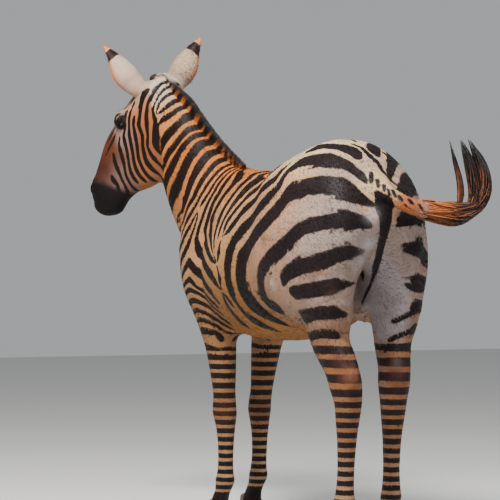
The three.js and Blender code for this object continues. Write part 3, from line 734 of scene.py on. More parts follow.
def sight_lines(pixels):
    """Ways from the camera through pixels of the photograph."""
    x, y = np.asarray(pixels, float).T
    across = (x - PHOTO_SIZE / 2) / FOCAL_PIXELS
    above = (PHOTO_SIZE / 2 - y) / FOCAL_PIXELS
    return unit(CAMERA_AHEAD + across[:, None] * CAMERA_RIGHT + above[:, None] * np.array([0, 0, 1]))


def meet_skin(pixels):
    """Where the lines of sight through some pixels of the photograph meet the body."""
    ways = sight_lines(pixels)
    reach = np.full(len(ways), SIGHT_START)
    nearest = np.full(len(ways), np.inf)
    best = reach.copy()
    for _ in range(SIGHT_STEPS):
        away = body_distance(CAMERA_PLACE + ways * reach[:, None])
        closer = away < nearest
        nearest[closer], best[closer] = away[closer], reach[closer]
        reach = np.where(away < SIGHT_GAP, reach, reach + np.maximum(away * 0.8, SIGHT_GAP))
    return CAMERA_PLACE + ways * best[:, None]


# ---------- markings: where the dark stripes run ----------

# Middle lines of the dark stripes as pixels of the photograph. Each has its dark share, then how far it
# narrows from its first point and to its last one, in millimetres, then its line. Most points of the neck,
# flank and cheek lines, and some of the others, are the middles of dark stretches that a scratch script
# printed from the photograph, along its rows and along slanted lines.
NECK_STRIPES = [
    (0.5, 0, 30, [(159, 85), (154, 91), (150, 100)]),
    (0.5, 0, 20, [(165, 87), (159, 93), (155, 101), (153, 107)]),
    (0.52, 0, 10, [(170, 93), (163, 97), (158, 103), (156, 110)]),
    (0.54, 0, 10, [(177, 99), (171, 103), (166, 107), (158, 113)]),
    (0.58, 0, 0, [(182, 107), (172, 113), (163, 118), (158, 124)]),
    (0.64, 0, 0, [(189, 114), (180, 122), (172, 130), (166, 136), (162, 144)]),
    (0.68, 0, 0, [(188, 130), (180, 139), (174, 148), (168, 153), (163, 164)]),
    (0.7, 0, 0, [(193, 136), (184, 143), (177, 152), (174, 160), (168, 171), (164, 183)]),
    (0.7, 0, 0, [(200, 143), (193, 153), (186, 162), (182, 172), (178, 182), (172, 194), (170, 205)]),
    (0.72, 0, 0, [(210, 153), (202, 162), (195, 174), (190, 186), (187, 198), (182, 210), (176, 222)]),
]
FLANK_STRIPES = [
    (0.58, 0, 30, [(217, 162), (206, 174), (199, 186), (194, 198), (187, 210), (182, 222), (178, 232)]),
    (0.55, 0, 30, [(221, 168), (210, 180), (202, 192), (196, 204), (190, 216), (184, 228), (179, 240)]),
    (0.55, 0, 20, [(229, 168), (216, 180), (209, 192), (201, 204), (195, 216), (189, 228), (183, 240),
     (177, 252)]),
    (0.55, 0, 10, [(236, 168), (220, 180), (213, 192), (207, 204), (202, 216), (198, 228), (196, 240),
     (199, 252), (204, 264), (212, 276), (221, 291), (229, 302)]),
    (0.5, 30, 10, [(194, 229), (190, 240), (185, 252), (180, 264), (176, 278)]),
    (0.6, 0, 10, [(242, 168), (226, 180), (218, 192), (211, 204), (207, 216), (204, 228), (204, 240),
     (208, 252), (214, 262)]),
    (0.6, 0, 20, [(250, 168), (237, 180), (226, 192), (218, 204), (212, 216), (210, 228), (210, 240),
     (212, 252), (216, 264), (218, 276), (220, 288), (224, 300), (231, 312), (241, 323)]),
    (0.55, 0, 40, [(252, 174), (240, 186), (230, 198), (222, 210), (218, 222), (214, 234), (213, 248)]),
    (0.52, 0, 40, [(260, 174), (250, 186), (238, 198), (229, 210), (222, 222), (218, 234)]),
    (0.58, 30, 10, [(266, 179), (254, 190), (245, 198), (234, 210), (226, 222), (223, 232), (219, 244),
     (217, 256), (216, 263)]),
    (0.5, 30, 30, [(275, 180), (267, 186), (254, 198), (242, 210), (234, 222), (224, 234)]),
]
HAUNCH_STRIPES = [
    (0.72, 20, 25, [(362, 158), (352, 150), (340, 146), (322, 146), (306, 151)]),
    (0.6, 60, 60, [(367, 184), (358, 172), (350, 166), (340, 162), (325, 159), (310, 159), (300, 161),
     (287, 170), (277, 186), (261, 204), (250, 216), (240, 228), (232, 240), (228, 252), (226, 270),
     (230, 294), (237, 306), (248, 318), (274, 330)]),
    (0.8, 80, 60, [(374, 207), (370, 204), (360, 196), (350, 190), (340, 187), (320, 185), (310, 186),
     (300, 190), (287, 194), (276, 210), (266, 222), (256, 234), (247, 246), (241, 258), (240, 282),
     (244, 294), (252, 306), (268, 318), (284, 325)]),
    (0.7, 30, 60, [(373, 226), (360, 220), (345, 220), (330, 221), (310, 225), (300, 229), (287, 241),
     (274, 254), (262, 270), (260, 282), (262, 294), (272, 307), (281, 309)]),
    (0.66, 60, 20, [(365, 250), (350, 252), (335, 255), (322, 259), (310, 263), (300, 266), (286, 277),
     (283, 284)]),
    (0.64, 90, 0, [(354, 283), (338, 285), (325, 288), (310, 291), (292, 291)]),
    (0.6, 50, 0, [(348, 315), (335, 313), (320, 313), (305, 318)]),
    (0.56, 30, 0, [(342, 336), (322, 334), (309, 337)]),
]
SHOULDER_STRIPES = [
    (0.55, 20, 20, [(179, 282), (184, 270), (189, 262), (195, 270), (203, 282), (211, 294), (218, 303)]),
    (0.55, 20, 20, [(182, 288), (190, 280), (197, 288), (208, 299), (217, 307)]),
    (0.55, 10, 20, [(182, 295), (189, 289), (197, 292), (208, 302), (220, 313)]),
    (0.55, 10, 20, [(186, 304), (194, 300), (203, 304), (213, 311), (226, 321)]),
    (0.55, 10, 20, [(188, 313), (197, 310), (207, 314), (217, 321), (230, 329)]),
    (0.55, 10, 20, [(190, 322), (199, 319), (207, 321), (216, 326), (232, 335)]),
    (0.55, 10, 20, [(192, 331), (202, 329), (218, 332), (236, 340)]),
]
# Dark marks, one of them partly painted shade, as lines of the photograph's pixels, each point with the
# mark's half width in millimetres.
MARKS = [
    [(352, 143, 6), (362, 147, 8), (370, 155, 11), (378, 162, 11), (383, 170, 11), (390, 178, 9),
     (400, 186, 7), (412, 193, 6), (424, 200, 5)],
    [(371, 172, 8), (371, 181, 9)],
    [(377, 179, 8), (378, 186, 7)],
    [(384, 184, 8), (384, 190, 7)],
    [(388, 189, 6), (389, 195, 6)],
    [(393, 190, 7), (395, 196, 6)],
    [(399, 196, 8), (402, 200, 6)],
    [(409, 199, 8), (413, 204, 6)],
    [(419, 204, 6), (423, 210, 5)],
    [(405, 205, 6), (408, 208, 4)],
    # the band from the tail's root down between the buttocks: partly the bare dark skin there, partly painted
    # shade between the hind legs
    [(377, 194, 14), (385, 204, 36), (386, 217, 26), (385, 230, 18), (382, 243, 15), (379, 256, 13),
     (374, 272, 11), (367, 290, 8), (361, 304, 6)],
    [(384, 152, 9), (392, 158, 12), (393, 170, 10)],
    [(402, 180, 5), (411, 181, 13), (415, 188, 12)],
    [(397, 226, 7), (408, 220, 20), (426, 220, 30)],
    [(404, 250, 7), (416, 252, 14), (427, 257, 20)],
    [(404, 284, 7), (414, 288, 14), (424, 290, 14)],
    [(392, 322, 9), (406, 316, 10), (420, 308, 12)],
    [(389, 340, 9), (401, 335, 10), (414, 329, 12)],
    [(384, 350, 10), (412, 350, 12)],
    [(272, 272, 6), (268, 276, 4)],
]
# Tints over both stripes, one of them a painted highlight: pixel, reach in millimetres, strength,
# colour from 0 to 255.
TINTS_AND_HIGHLIGHT = [
    ((351, 376), 36, 0.85, (160, 100, 72)),
    ((337, 362), 30, 0.7, (88, 52, 48)),
    ((352, 393), 15, 0.8, (30, 18, 18)),
    ((396, 374), 44, 0.75, (86, 50, 48)),
    # a painted highlight: the pale spot of sunlight on the tendon above the right hock
    ((396, 362), 18, 0.3, (170, 150, 146)),
    ((372, 215), 24, 0.6, (236, 230, 234)),
    ((369, 245), 24, 0.6, (232, 226, 230)),
    ((362, 262), 30, 0.4, (226, 218, 222)),
    ((232, 205), 15, 0.5, (96, 72, 58)),
    ((264, 241), 18, 0.5, (96, 72, 58)),
    ((312, 276), 20, 0.4, (92, 70, 58)),
    ((332, 292), 24, 0.4, (92, 64, 52)),
    ((398, 300), 30, 0.35, (120, 104, 98)),
    ((272, 284), 22, 0.5, (224, 216, 210)),
    ((222, 412), 60, 0.4, (110, 66, 40)),
    ((262, 412), 60, 0.4, (96, 54, 34)),
]
# Thin brown stripes that run between the dark ones.
SHADOW_STRIPES = [
    [(300, 277), (312, 274), (326, 272)],
    [(250, 238), (262, 236), (272, 240)],
]
# Dark lines of the cheek, from the nose back to the throat.
CHEEK_STRIPES = [
    (0.42, 20, 10, [(110, 175), (118, 185), (121, 195)]),
    (0.46, 20, 10, [(112, 152), (115, 165), (120, 175), (125, 185), (129, 195)]),
    (0.5, 10, 10, [(119, 135), (119, 145), (121, 155), (124, 165), (126, 175), (131, 185), (138, 192)]),
    (0.58, 10, 10, [(131, 96), (126, 103), (126, 110), (125, 125), (123, 135), (125, 145), (127, 155),
     (129, 165), (132, 175), (139, 185)]),
    (0.62, 20, 10, [(134, 100), (131, 108), (128, 118), (129, 135), (131, 145), (133, 155), (135, 165),
     (139, 175), (148, 184)]),
    (0.6, 20, 10, [(134, 115), (133, 125), (135, 135), (137, 145), (138, 155), (141, 165), (147, 175),
     (156, 183)]),
    (0.64, 10, 10, [(150, 88), (144, 95), (141, 102), (140, 110), (138, 125), (143, 135), (143, 145),
     (145, 155), (148, 165), (156, 175)]),
    (0.56, 10, 10, [(152, 94), (148, 104), (146, 115), (147, 125), (148, 135), (147, 145), (151, 155),
     (157, 165)]),
    (0.56, 10, 10, [(152, 107), (154, 115), (157, 125), (154, 135), (154, 145), (159, 155)]),
]
# Lines of the forehead and the bridge of the nose: along the head in millimetres, degrees from the middle.
FOREHEAD_STRIPES = [
    (0.5, 20, 60, [(20, 0), (120, 0), (220, 0), (300, 0)]),
    (0.5, 20, 60, [(20, 14), (120, 12), (200, 10), (310, 5)]),
    (0.5, 20, 60, [(25, 28), (120, 24), (200, 20), (320, 11)]),
    (0.52, 20, 60, [(35, 42), (120, 36), (190, 30), (260, 26), (330, 19)]),
    (0.5, 30, 40, [(250, 42), (290, 36), (330, 30), (360, 27)]),
    (0.52, 20, 30, [(60, 53), (110, 47), (150, 46)]),
    (0.5, 20, 20, [(128, 58), (150, 49), (176, 44), (205, 45), (235, 54)]),
    (0.42, 15, 15, [(160, 57), (180, 52), (205, 54), (222, 61)]),
]
# Heights of the rings round the legs.
FORELEG_RINGS = [621, 589, 556, 524, 488, 452, 417, 388, 357, 326, 296, 266, 237, 208, 180, 152, 124, 98]
HINDLEG_RINGS = [647, 604, 556, 507, 471, 437, 405, 372, 340, 308, 277, 246, 215, 185, 155, 126, 98]
RING_SHARE = 0.6
# Heights of the stripes across the chest, which the photograph hides.
CHEST_LINES = [790, 840, 890, 940, 990, 1040, 1090]
CHEST_SHARE = 0.46
MARK_REACH = 15.0  # beyond this a mark has no say
WIDEST_MARK = 40.0  # no mark has a larger half width
STRIPE_REACH = 75.0  # beyond this a stripe has no say
TAPER_POWER = 0.6
HEAD_ROUND = 80.0  # millimetres for each radian around the head
HEAD_MIDDLE = -78.0  # level of the head's middle line in the head frame
RIGHT_DROP = 17.0  # how much lower the rump's stripes run on the right
FORE_END = 100.0  # the forelegs lie ahead of this, the hind legs behind it
CHEST_Y = [(-580, -25), (-480, -12), (-425, 0)]  # along a chest stripe: y, and how far below its height


def every_pixel():
    """Every pixel that the tables above name, so that all are looked up in one go."""
    stripes = NECK_STRIPES + FLANK_STRIPES + HAUNCH_STRIPES + SHOULDER_STRIPES + CHEEK_STRIPES
    lines = [row[3] for row in stripes] + SHADOW_STRIPES
    lines += [[place[:2] for place in mark] for mark in MARKS] + [[row[0] for row in TINTS_AND_HIGHLIGHT]]
    return sorted({pixel for line in lines for pixel in line})


SKIN_PLACES = dict(zip(every_pixel(), meet_skin(every_pixel())))


def on_skin(pixels):
    return np.array([SKIN_PLACES[pixel] for pixel in pixels])


def side_place(points):
    """Side coordinates in which both sides and all four legs match the left ones.

    They grow round the rump's rear and over the back, so that stripes can end there."""
    x, y, z = points.T
    out = np.abs(x)
    left_y, left_z = y.copy(), z.copy()
    for kind, share in (("fore", y < FORE_END), ("hind", y >= FORE_END)):
        _, to_y = line_at(LEG_LINES[kind + "_left"], z)
        _, from_y = line_at(LEG_LINES[kind + "_right"], z)
        low = np.clip((850 - z) / 200, 0, 1) * (x < 0) * share
        left_y = left_y + low * (to_y - from_y)
    left_z -= RIGHT_DROP * (x < 0) * np.clip((y - 250) / 150, 0, 1) * np.clip((z - 600) / 150, 0, 1)
    rear = np.maximum(170 - out, 0) * smoothstep(600, 700, y) * smoothstep(640, 700, z)
    top = np.maximum(110 - out, 0) * smoothstep(1180, 1260, z) * smoothstep(-250, -100, y)
    return np.stack([left_y + rear, left_z + 0.8 * top], 1)


def head_place(local):
    """Head coordinates: along the head, and around it from the middle of the forehead."""
    turn = np.arctan2(np.abs(local[:, 2]), local[:, 1] - HEAD_MIDDLE)
    return np.stack([local[:, 0], turn * HEAD_ROUND], 1)


def lengthened(line, before, after):
    """A line with its first end moved on by a step, and its last end drawn out straight."""
    line = np.asarray(line, float)
    last = line[-1] + unit(line[-1] - line[-2]) * after
    return np.vstack([line[0] + before, line, last])


def line_distances(points, line):
    """Distance to a line of points, and how far along it the nearest place is."""
    best = np.full(len(points), np.inf)
    along = np.zeros(len(points))
    passed = 0.0
    for a, b in zip(line[:-1], line[1:]):
        run = b - a
        length = math.sqrt(run @ run)
        t = np.clip((points - a) @ run / max(length * length, 1e-9), 0, 1)
        gap = points - a - t[:, None] * run
        squared = np.einsum("ij,ij->i", gap, gap)
        closer = squared < best
        best = np.where(closer, squared, best)
        along = np.where(closer, passed + t * length, along)
        passed += length
    return np.sqrt(best), along, passed


def stripe_field(points, guides):
    """How far each point is from a dark middle line (0) to a light one (1), and the dark share there."""
    nearest = np.full(len(points), STRIPE_REACH)
    second = nearest.copy()
    share_near, share_far = np.zeros(len(points)), np.zeros(len(points))
    for whole_share, start, end, line in guides:
        near = ((points > line.min(0) - STRIPE_REACH) & (points < line.max(0) + STRIPE_REACH)).all(1)
        away, along, length = line_distances(points[near], line)
        share = np.full(len(away), float(whole_share))
        if start:
            share *= np.clip(along / start, 0, 1) ** TAPER_POWER
        if end:
            share *= np.clip((length - along) / end, 0, 1) ** TAPER_POWER
        first = away < nearest[near]
        middle = ~first & (away < second[near])
        second[near] = np.where(first, nearest[near], np.where(middle, away, second[near]))
        share_far[near] = np.where(first, share_near[near], np.where(middle, share, share_far[near]))
        nearest[near] = np.where(first, away, nearest[near])
        share_near[near] = np.where(first, share, share_near[near])
    wave = np.minimum(2 * nearest / np.maximum(nearest + second, 1e-6), 1)
    return wave, share_near * (1 - wave / 2) + share_far * wave / 2


# How each group's lines are drawn out: a step before the first place, and a length after the last.
DRAWN_OUT = [
    (NECK_STRIPES, (46, 39), 45),
    (FLANK_STRIPES, (0, 70), 20),
    (HAUNCH_STRIPES, (0, 0), 10),
    (SHOULDER_STRIPES, (0, 0), 10),
]
RING_HALF = 110  # half length of the two highest rings' lines, which the other stripes meet


def body_guides():
    """The body's dark stripes in side coordinates: share, tapers at the ends, line."""
    guides = []
    for stripes, before, after in DRAWN_OUT:
        for share, start, end, pixels in stripes:
            guides.append((share, start, end, lengthened(side_place(on_skin(pixels)), before, after)))
    for z in CHEST_LINES:
        guides.append((CHEST_SHARE, 0, 40, np.array([[y, z + below] for y, below in CHEST_Y])))
    for rings, name in ((FORELEG_RINGS, "fore_left"), (HINDLEG_RINGS, "hind_left")):
        for z in rings[:2]:
            _, y = line_at(LEG_LINES[name], z)
            guides.append((RING_SHARE, 0, 0, np.array([[y - RING_HALF, z], [y + RING_HALF, z]])))
    return guides


def mark_depth(points):
    """How deep each point lies in a dark mark, in millimetres: below zero outside them all."""
    best = np.full(len(points), -MARK_REACH)
    for mark in MARKS:
        line = on_skin([place[:2] for place in mark])
        width = np.array([place[2] for place in mark], float)
        for a, b, wide, wide_end in zip(line[:-1], line[1:], width[:-1], width[1:]):
            run = b - a
            near = np.abs(points - (a + b) / 2).max(1) < MARK_REACH + WIDEST_MARK + np.abs(run).max() / 2
            t = np.clip((points[near] - a) @ run / max(run @ run, 1e-9), 0, 1)
            away = np.linalg.norm(points[near] - a - t[:, None] * run, axis=1)
            best[near] = np.maximum(best[near], wide + (wide_end - wide) * t - away)
    return best


def tinted(points, light, dark):
    """Both stripes' colours with the tints, and one painted highlight, laid over them."""
    for pixel, reach, strength, colour in TINTS_AND_HIGHLIGHT:
        centre = on_skin([pixel])[0]
        share = strength * np.exp(-(((points - centre) / reach) ** 2).sum(1))
        light = mixed(light, toned(srgb(*colour)), share)
        dark = mixed(dark, toned(srgb(*colour)), share * 0.75)
    return light, dark


def head_guides():
    """The head's dark stripes in head coordinates, as body_guides gives the body's."""
    guides = []
    for share, start, end, pixels in CHEEK_STRIPES:
        guides.append((share, start, end, head_place(to_local(on_skin(pixels)))))
    for share, start, end, line in FOREHEAD_STRIPES:
        places = np.array([[h, math.radians(turn) * HEAD_ROUND] for h, turn in line])
        guides.append((share, start, end, places))
    return guides


def leg_rings(points):
    """Phase of the rings round the legs (whole at a dark ring), and where they take over from the stripes."""
    y, z = points[:, 1], points[:, 2]
    both = (FORELEG_RINGS, HINDLEG_RINGS)
    phases = [np.interp(z, rings[::-1], np.arange(len(rings))[::-1]) for rings in both]
    top = np.where(y < FORE_END, FORELEG_RINGS[1], HINDLEG_RINGS[1])
    return np.where(y < FORE_END, *phases), np.clip((top - z) / 4 + 0.5, 0, 1)


BODY_GUIDES = body_guides()
HEAD_GUIDES = head_guides()
SHADOW_GUIDES = [side_place(on_skin(pixels)) for pixels in SHADOW_STRIPES]


# Colour of the light stripes around some places of the body: centre, reach, colour.
# The top of the rump is partly painted highlight and the belly partly painted shade.
LIGHT_PLACES = [
    ([150, -640, 1510], 70, srgb(240, 224, 204)),  # poll
    ([120, -540, 1400], 90, srgb(226, 158, 92)),  # crest
    ([90, -430, 1290], 110, srgb(222, 132, 60)),
    ([120, -420, 1150], 120, srgb(204, 134, 80)),  # side of the neck
    ([40, -220, 1260], 120, srgb(228, 134, 56)),  # withers
    ([180, -200, 1080], 150, srgb(216, 164, 118)),  # shoulder
    ([60, 0, 1240], 160, srgb(230, 144, 66)),  # back
    ([220, 50, 1050], 180, srgb(214, 168, 126)),  # ribs
    ([60, -470, 900], 150, srgb(206, 172, 144)),  # chest
    # partly painted shade: the belly is darker here because it lies in the shade under the body
    ([200, 100, 760], 200, srgb(174, 122, 66)),  # belly
    # partly painted highlight: the top of the rump is paler where sunlight falls on it
    ([130, 480, 1310], 130, srgb(246, 224, 184)),  # top of the rump
    ([220, 480, 1130], 160, srgb(210, 158, 118)),  # haunch
    ([220, 480, 930], 160, srgb(190, 152, 126)),
    ([150, 680, 1050], 130, srgb(184, 168, 162)),  # buttock
    ([90, 700, 850], 150, srgb(172, 150, 140)),
    ([110, 700, 640], 120, srgb(166, 112, 74)),  # gaskin
    ([100, 735, 430], 130, srgb(168, 118, 84)),
    ([100, 735, 150], 150, srgb(190, 150, 118)),
    ([110, -250, 750], 140, srgb(182, 136, 100)),  # forearm
    ([100, -225, 420], 140, srgb(176, 132, 98)),
    ([100, -250, 150], 150, srgb(190, 150, 118)),
    ([20, 790, 1150], 50, srgb(240, 206, 160)),  # root of the tail
    ([60, 850, 1115], 36, srgb(204, 112, 50)),
]
# The same in the head frame.
HEAD_PLACES = [
    ([60, -20, 70], 60, srgb(222, 196, 174)),  # in front of the ear
    ([120, 20, 30], 60, srgb(222, 178, 140)),  # forehead
    ([190, 0, 80], 42, srgb(160, 144, 138)),  # over the eye
    ([235, -70, 70], 45, srgb(184, 160, 150)),  # under the eye
    ([120, -120, 85], 80, srgb(196, 122, 74)),  # cheek
    ([230, -190, 60], 90, srgb(178, 116, 76)),  # jaw
    ([330, -20, 40], 55, srgb(120, 66, 42)),  # bridge of the nose
    ([370, -110, 45], 50, srgb(140, 112, 104)),  # lower cheek
    ([410, -20, 40], 45, srgb(84, 46, 34)),
]
DARK = srgb(9, 6, 7)
# The rump's dark stripes are a little lighter and more purple: a painted sheen of sunlight on them.
DARK_RUMP_SHEEN = srgb(14, 9, 13)
DARK_NECK = srgb(10, 5, 5)
MUZZLE = srgb(15, 11, 12)
EYE_PATCH = srgb(14, 9, 10)
# Grey of the stripeless rear and inner thighs: partly the coat's own grey there, partly painted shade between
# the hind legs.
PLAIN_REAR_AND_SHADE = srgb(130, 120, 122)
# The dark patch round the eye: how far its middle is from the eyeball's, and its radii.
PATCH_SHIFT = [2, 1, 8]
PATCH_RADII = [32, 20, 26]
DORSAL_HALF = (14, 6)  # half widths at the faint and the full edge of the dark line down the back
DORSAL_SHARE = 1.3

# The colours above were judged in sunlight, and these bring them to the studio's softer light.
COAT_CONTRAST = 1.12
COAT_TONE = 0.5


def toned(colour):
    return colour**COAT_CONTRAST * COAT_TONE


def blended(points, places):
    """The colour at each point from the places around it."""
    total = np.zeros((len(points), 3))
    weight = np.full(len(points), 1e-9)
    for centre, reach, colour in places:
        w = 1e-6 + np.exp(-(((points - np.asarray(centre, float)) / reach) ** 2).sum(1))
        total += w[:, None] * colour
        weight += w
    return toned(total / weight[:, None])


def plain_share(points):
    """Where the stripes run out: the rear between the buttocks, the inner thighs and the belly's middle."""
    x, y, z = points.T
    out = np.abs(x)
    edge = np.where(x > 0, 10, 120)
    rear = smoothstep(edge + 25, edge - 15, out) * smoothstep(600, 680, y) * smoothstep(1190, 1120, z)
    rear *= smoothstep(640, 720, z)
    rear *= smoothstep(790, 750, y)
    inner = smoothstep(90, 50, out) * smoothstep(640, 700, z) * smoothstep(900, 840, z)
    under = smoothstep(80, 30, out) * smoothstep(720, 690, z)
    return np.clip(rear + inner + under * 0.9, 0, 1)


def dorsal_line(points):
    """The dark line down the middle of the back."""
    x, y, z = points.T
    line = smoothstep(*DORSAL_HALF, np.abs(x)) * smoothstep(-120, -60, y)
    return line * (smoothstep(1215, 1235, z) * smoothstep(640, 600, y))


def coat_colours(points, local, on_head, plain):
    """Colours of the light and the dark stripes."""
    y = points[:, 1]
    head_local = folded(local)
    light = blended(folded(points, 0), LIGHT_PLACES)
    light = mixed(light, blended(head_local, HEAD_PLACES), on_head)
    # painted sheen on the rump's dark stripes, from the hip back
    dark = mixed(np.tile(DARK, (len(points), 1)), DARK_RUMP_SHEEN, smoothstep(250, 420, y))
    dark = mixed(dark, DARK_NECK, smoothstep(-150, -300, y) * (1 - on_head))
    # the rear between the buttocks and the inner thighs go grey, partly as painted shade
    light = mixed(light, PLAIN_REAR_AND_SHADE, plain * smoothstep(500, 620, y))
    muzzle = smoothstep(425, 455, local[:, 0] - 0.25 * (local[:, 1] - HEAD_MIDDLE)) * on_head
    light = mixed(light, MUZZLE, muzzle)
    away = np.linalg.norm((head_local - EYE_CENTRE - PATCH_SHIFT) / PATCH_RADII, axis=1)
    patch = smoothstep(1.15, 0.85, away) * on_head
    return tinted(points, mixed(light, EYE_PATCH, patch), mixed(dark, EYE_PATCH, patch))


def markings(points):
    """Every value that the coat's colours are worked out from."""
    local = to_local(points)
    place = side_place(points)
    on_head = smoothstep(-6, 6, head_mask(local))
    wave, share = stripe_field(place, BODY_GUIDES)
    head_wave, head_share = stripe_field(head_place(local), HEAD_GUIDES)
    plain = plain_share(points) * (1 - on_head)
    share = part_way(share, head_share, on_head) * (1 - plain)
    share = np.maximum(share, dorsal_line(points) * DORSAL_SHARE)
    phase, ring = leg_rings(points)
    light, dark = coat_colours(points, local, on_head, plain)
    return {
        "wave": part_way(wave, head_wave, on_head),
        "share": part_way(share, RING_SHARE, ring),
        "mark": mark_depth(points),
        "shadow": np.min([line_distances(place, line)[0] for line in SHADOW_GUIDES], axis=0),
        "phase": phase,
        "ring": ring,
        "light": light,
        "dark": dark,
    }


# The line behind the ears and the jaw where the head's stripes take over, in the head frame: h, d.
HEAD_EDGE = [
    (-70, 160), (-40, 0), (0, -60), (30, -92), (60, -120),
    (100, -185), (150, -245), (207, -284), (265, -308), (420, -340),
]
EDGE_LEAN = 0.75  # the edge slopes, so the nearest way to it is about this share of the way straight down


def head_mask(local):
    """About how far each point is in front of the head's edge, in millimetres."""
    return EDGE_LEAN * (local[:, 1] - np.interp(local[:, 0], *np.transpose(HEAD_EDGE)))


# ---------- materials ----------


class Nodes:
    """A new material, with short ways to add shader nodes and link them."""

    def __init__(self, name):
        self.material = bpy.data.materials.new(name)
        self.material.use_nodes = True
        self.tree = self.material.node_tree
        self.tree.nodes.clear()

    def add(self, kind, inputs=None, **settings):
        node = self.tree.nodes.new("ShaderNode" + kind)
        for key, value in settings.items():
            setattr(node, key, value)
        for key, value in (inputs or {}).items():
            self.put(node.inputs[key], value)
        return node

    def put(self, socket, value):
        if isinstance(value, bpy.types.NodeSocket):
            self.tree.links.new(value, socket)
        else:
            socket.default_value = value

    def math(self, operation, *values, clamp=False):
        node = self.add("Math", dict(enumerate(values)), operation=operation)
        node.use_clamp = clamp
        return node.outputs[0]

    def mix(self, share, first, second, blend="MIX"):
        node = self.add("Mix", data_type="RGBA", blend_type=blend)
        self.put(node.inputs[0], share)
        self.put(node.inputs[6], first)
        self.put(node.inputs[7], second)
        return node.outputs[2]

    def shaded(self, colour, shade):
        """A colour times a number."""
        grey = self.add("CombineColor", {0: shade, 1: shade, 2: shade}).outputs[0]
        return self.mix(1.0, colour, grey, "MULTIPLY")

    def bump(self, height, strength, distance):
        return self.add("Bump", {"Height": height, "Strength": strength, "Distance": distance}).outputs[0]

    def value(self, name, output="Fac"):
        return self.add("Attribute", attribute_name=name).outputs[output]

    def colour(self, name):
        return self.value(name, "Color")

    def noise(self, scale, detail=3.0, place=None):
        place = place or self.add("TexCoord").outputs["Object"]
        return self.add("TexNoise", {"Scale": scale, "Detail": detail, "Vector": place}).outputs["Fac"]

    def stretched(self, x, y, z):
        place = self.add("TexCoord").outputs["Object"]
        return self.add("Mapping", {"Vector": place, "Scale": (x, y, z)}).outputs[0]

    def finish(self, **inputs):
        """Links the surface's shader, and gives the material back."""
        shader = self.add("BsdfPrincipled", {key.replace("_", " "): value for key, value in inputs.items()})
        self.tree.links.new(shader.outputs[0], self.add("OutputMaterial").inputs[0])
        return self.material


def rgba(red, green, blue):
    return (*srgb(red, green, blue).tolist(), 1.0)


SHADOW_BROWN = rgba(110, 78, 58)
DUST = rgba(110, 76, 60)
COAT_ROUGHNESS = 0.66
COAT_SPECULAR = 0.12


def coat_colour(nodes):
    """Dark and light stripes from the values on the mesh, with ragged edges and dirt."""
    ragged = nodes.math("MULTIPLY", nodes.math("SUBTRACT", nodes.noise(55.0), 0.5), 0.22)
    broad = nodes.math("MULTIPLY", nodes.math("SUBTRACT", nodes.noise(11.0, 2.0), 0.5), 0.16)
    rings = nodes.math("MULTIPLY", nodes.math("PINGPONG", nodes.value("phase"), 0.5), 2.0)
    smooth = nodes.add("Mix", {0: nodes.value("ring"), 2: nodes.value("wave"), 3: rings}).outputs[0]
    wave = nodes.math("ADD", nodes.math("ADD", smooth, ragged), broad)
    gap = nodes.math("SUBTRACT", nodes.value("share"), wave)
    striped = nodes.math("MULTIPLY_ADD", gap, 9.0, 0.5, clamp=True)
    depth = nodes.math("ADD", nodes.value("mark"), nodes.math("MULTIPLY", ragged, 26.0))
    dark = nodes.math("MAXIMUM", striped, nodes.math("MULTIPLY_ADD", depth, 0.3, 0.5, clamp=True))
    blotch = nodes.noise(9.0, 4.0)
    light = nodes.shaded(nodes.colour("light"), nodes.math("MULTIPLY_ADD", blotch, 0.5, 0.75))
    near = nodes.math("MULTIPLY_ADD", nodes.value("shadow"), -1 / 9.0, 1.5, clamp=True)
    brown = nodes.math("MULTIPLY", near, nodes.noise(30.0, 2.0))
    light = nodes.mix(brown, light, SHADOW_BROWN)
    dusty = nodes.mix(nodes.math("MULTIPLY", blotch, 0.06), nodes.colour("dark"), DUST)
    return nodes.mix(dark, light, dusty), dark


def coat_material(name, shine, hairy):
    """The coat of the skin, which is hairy by its bump, or of its tufts. Dark hair shines a little more."""
    nodes = Nodes(name)
    colour, dark = coat_colour(nodes)
    looks = {"Base_Color": colour, "Specular_IOR_Level": COAT_SPECULAR}
    if hairy:
        hair = nodes.noise(260.0, 4.0, nodes.stretched(1.0, 0.5, 0.28))
        looks["Normal"] = nodes.bump(hair, 0.35, 0.003)
    looks["Roughness"] = nodes.math("MULTIPLY_ADD", dark, -shine, COAT_ROUGHNESS)
    return nodes.finish(**looks)


def hair_material():
    """Long hair: each strand's own colour, a little uneven along it."""
    nodes = Nodes("long_hair")
    shade = nodes.math("MULTIPLY_ADD", nodes.noise(60.0), 0.7, 0.6)
    colour = nodes.shaded(nodes.colour("light"), shade)
    return nodes.finish(Base_Color=colour, Roughness=0.5, Specular_IOR_Level=0.3)


def eye_material():
    nodes = Nodes("eye")
    colour = nodes.mix(nodes.noise(120.0), rgba(20, 12, 9), rgba(48, 28, 18))
    return nodes.finish(Base_Color=colour, Roughness=0.08)


def horn_material():
    """Hooves, with fine rings that run level round them."""
    nodes = Nodes("horn")
    rings = nodes.noise(1.0, place=nodes.stretched(6.0, 6.0, 160.0))
    colour = nodes.mix(rings, rgba(44, 38, 36), rgba(96, 84, 76))
    return nodes.finish(Base_Color=colour, Roughness=0.55, Normal=nodes.bump(rings, 0.4, 0.002))


COAT = coat_material("coat", 0.12, True)
TUFTS = coat_material("coat_tufts", 0.1, False)
HAIR = hair_material()
EYE = eye_material()
HORN = horn_material()


# ---------- the skin ----------


BOX_MARGIN = 12.0
SKIN_START = 18.0  # height at which the skin starts, inside the hooves


def shapes_box():
    low = np.min([shape.low for shape in SHAPES], axis=0)
    high = np.max([shape.high for shape in SHAPES], axis=0)
    low = np.minimum(low, 0) - BOX_MARGIN
    low[2] = SKIN_START
    return low, high + BOX_MARGIN


def edge_keys(faces, count):
    """One number for each edge of each face, the same for both faces that share it."""
    a, b = faces, np.roll(faces, -1, axis=1)
    return np.minimum(a, b).astype(np.int64) * count + np.maximum(a, b)


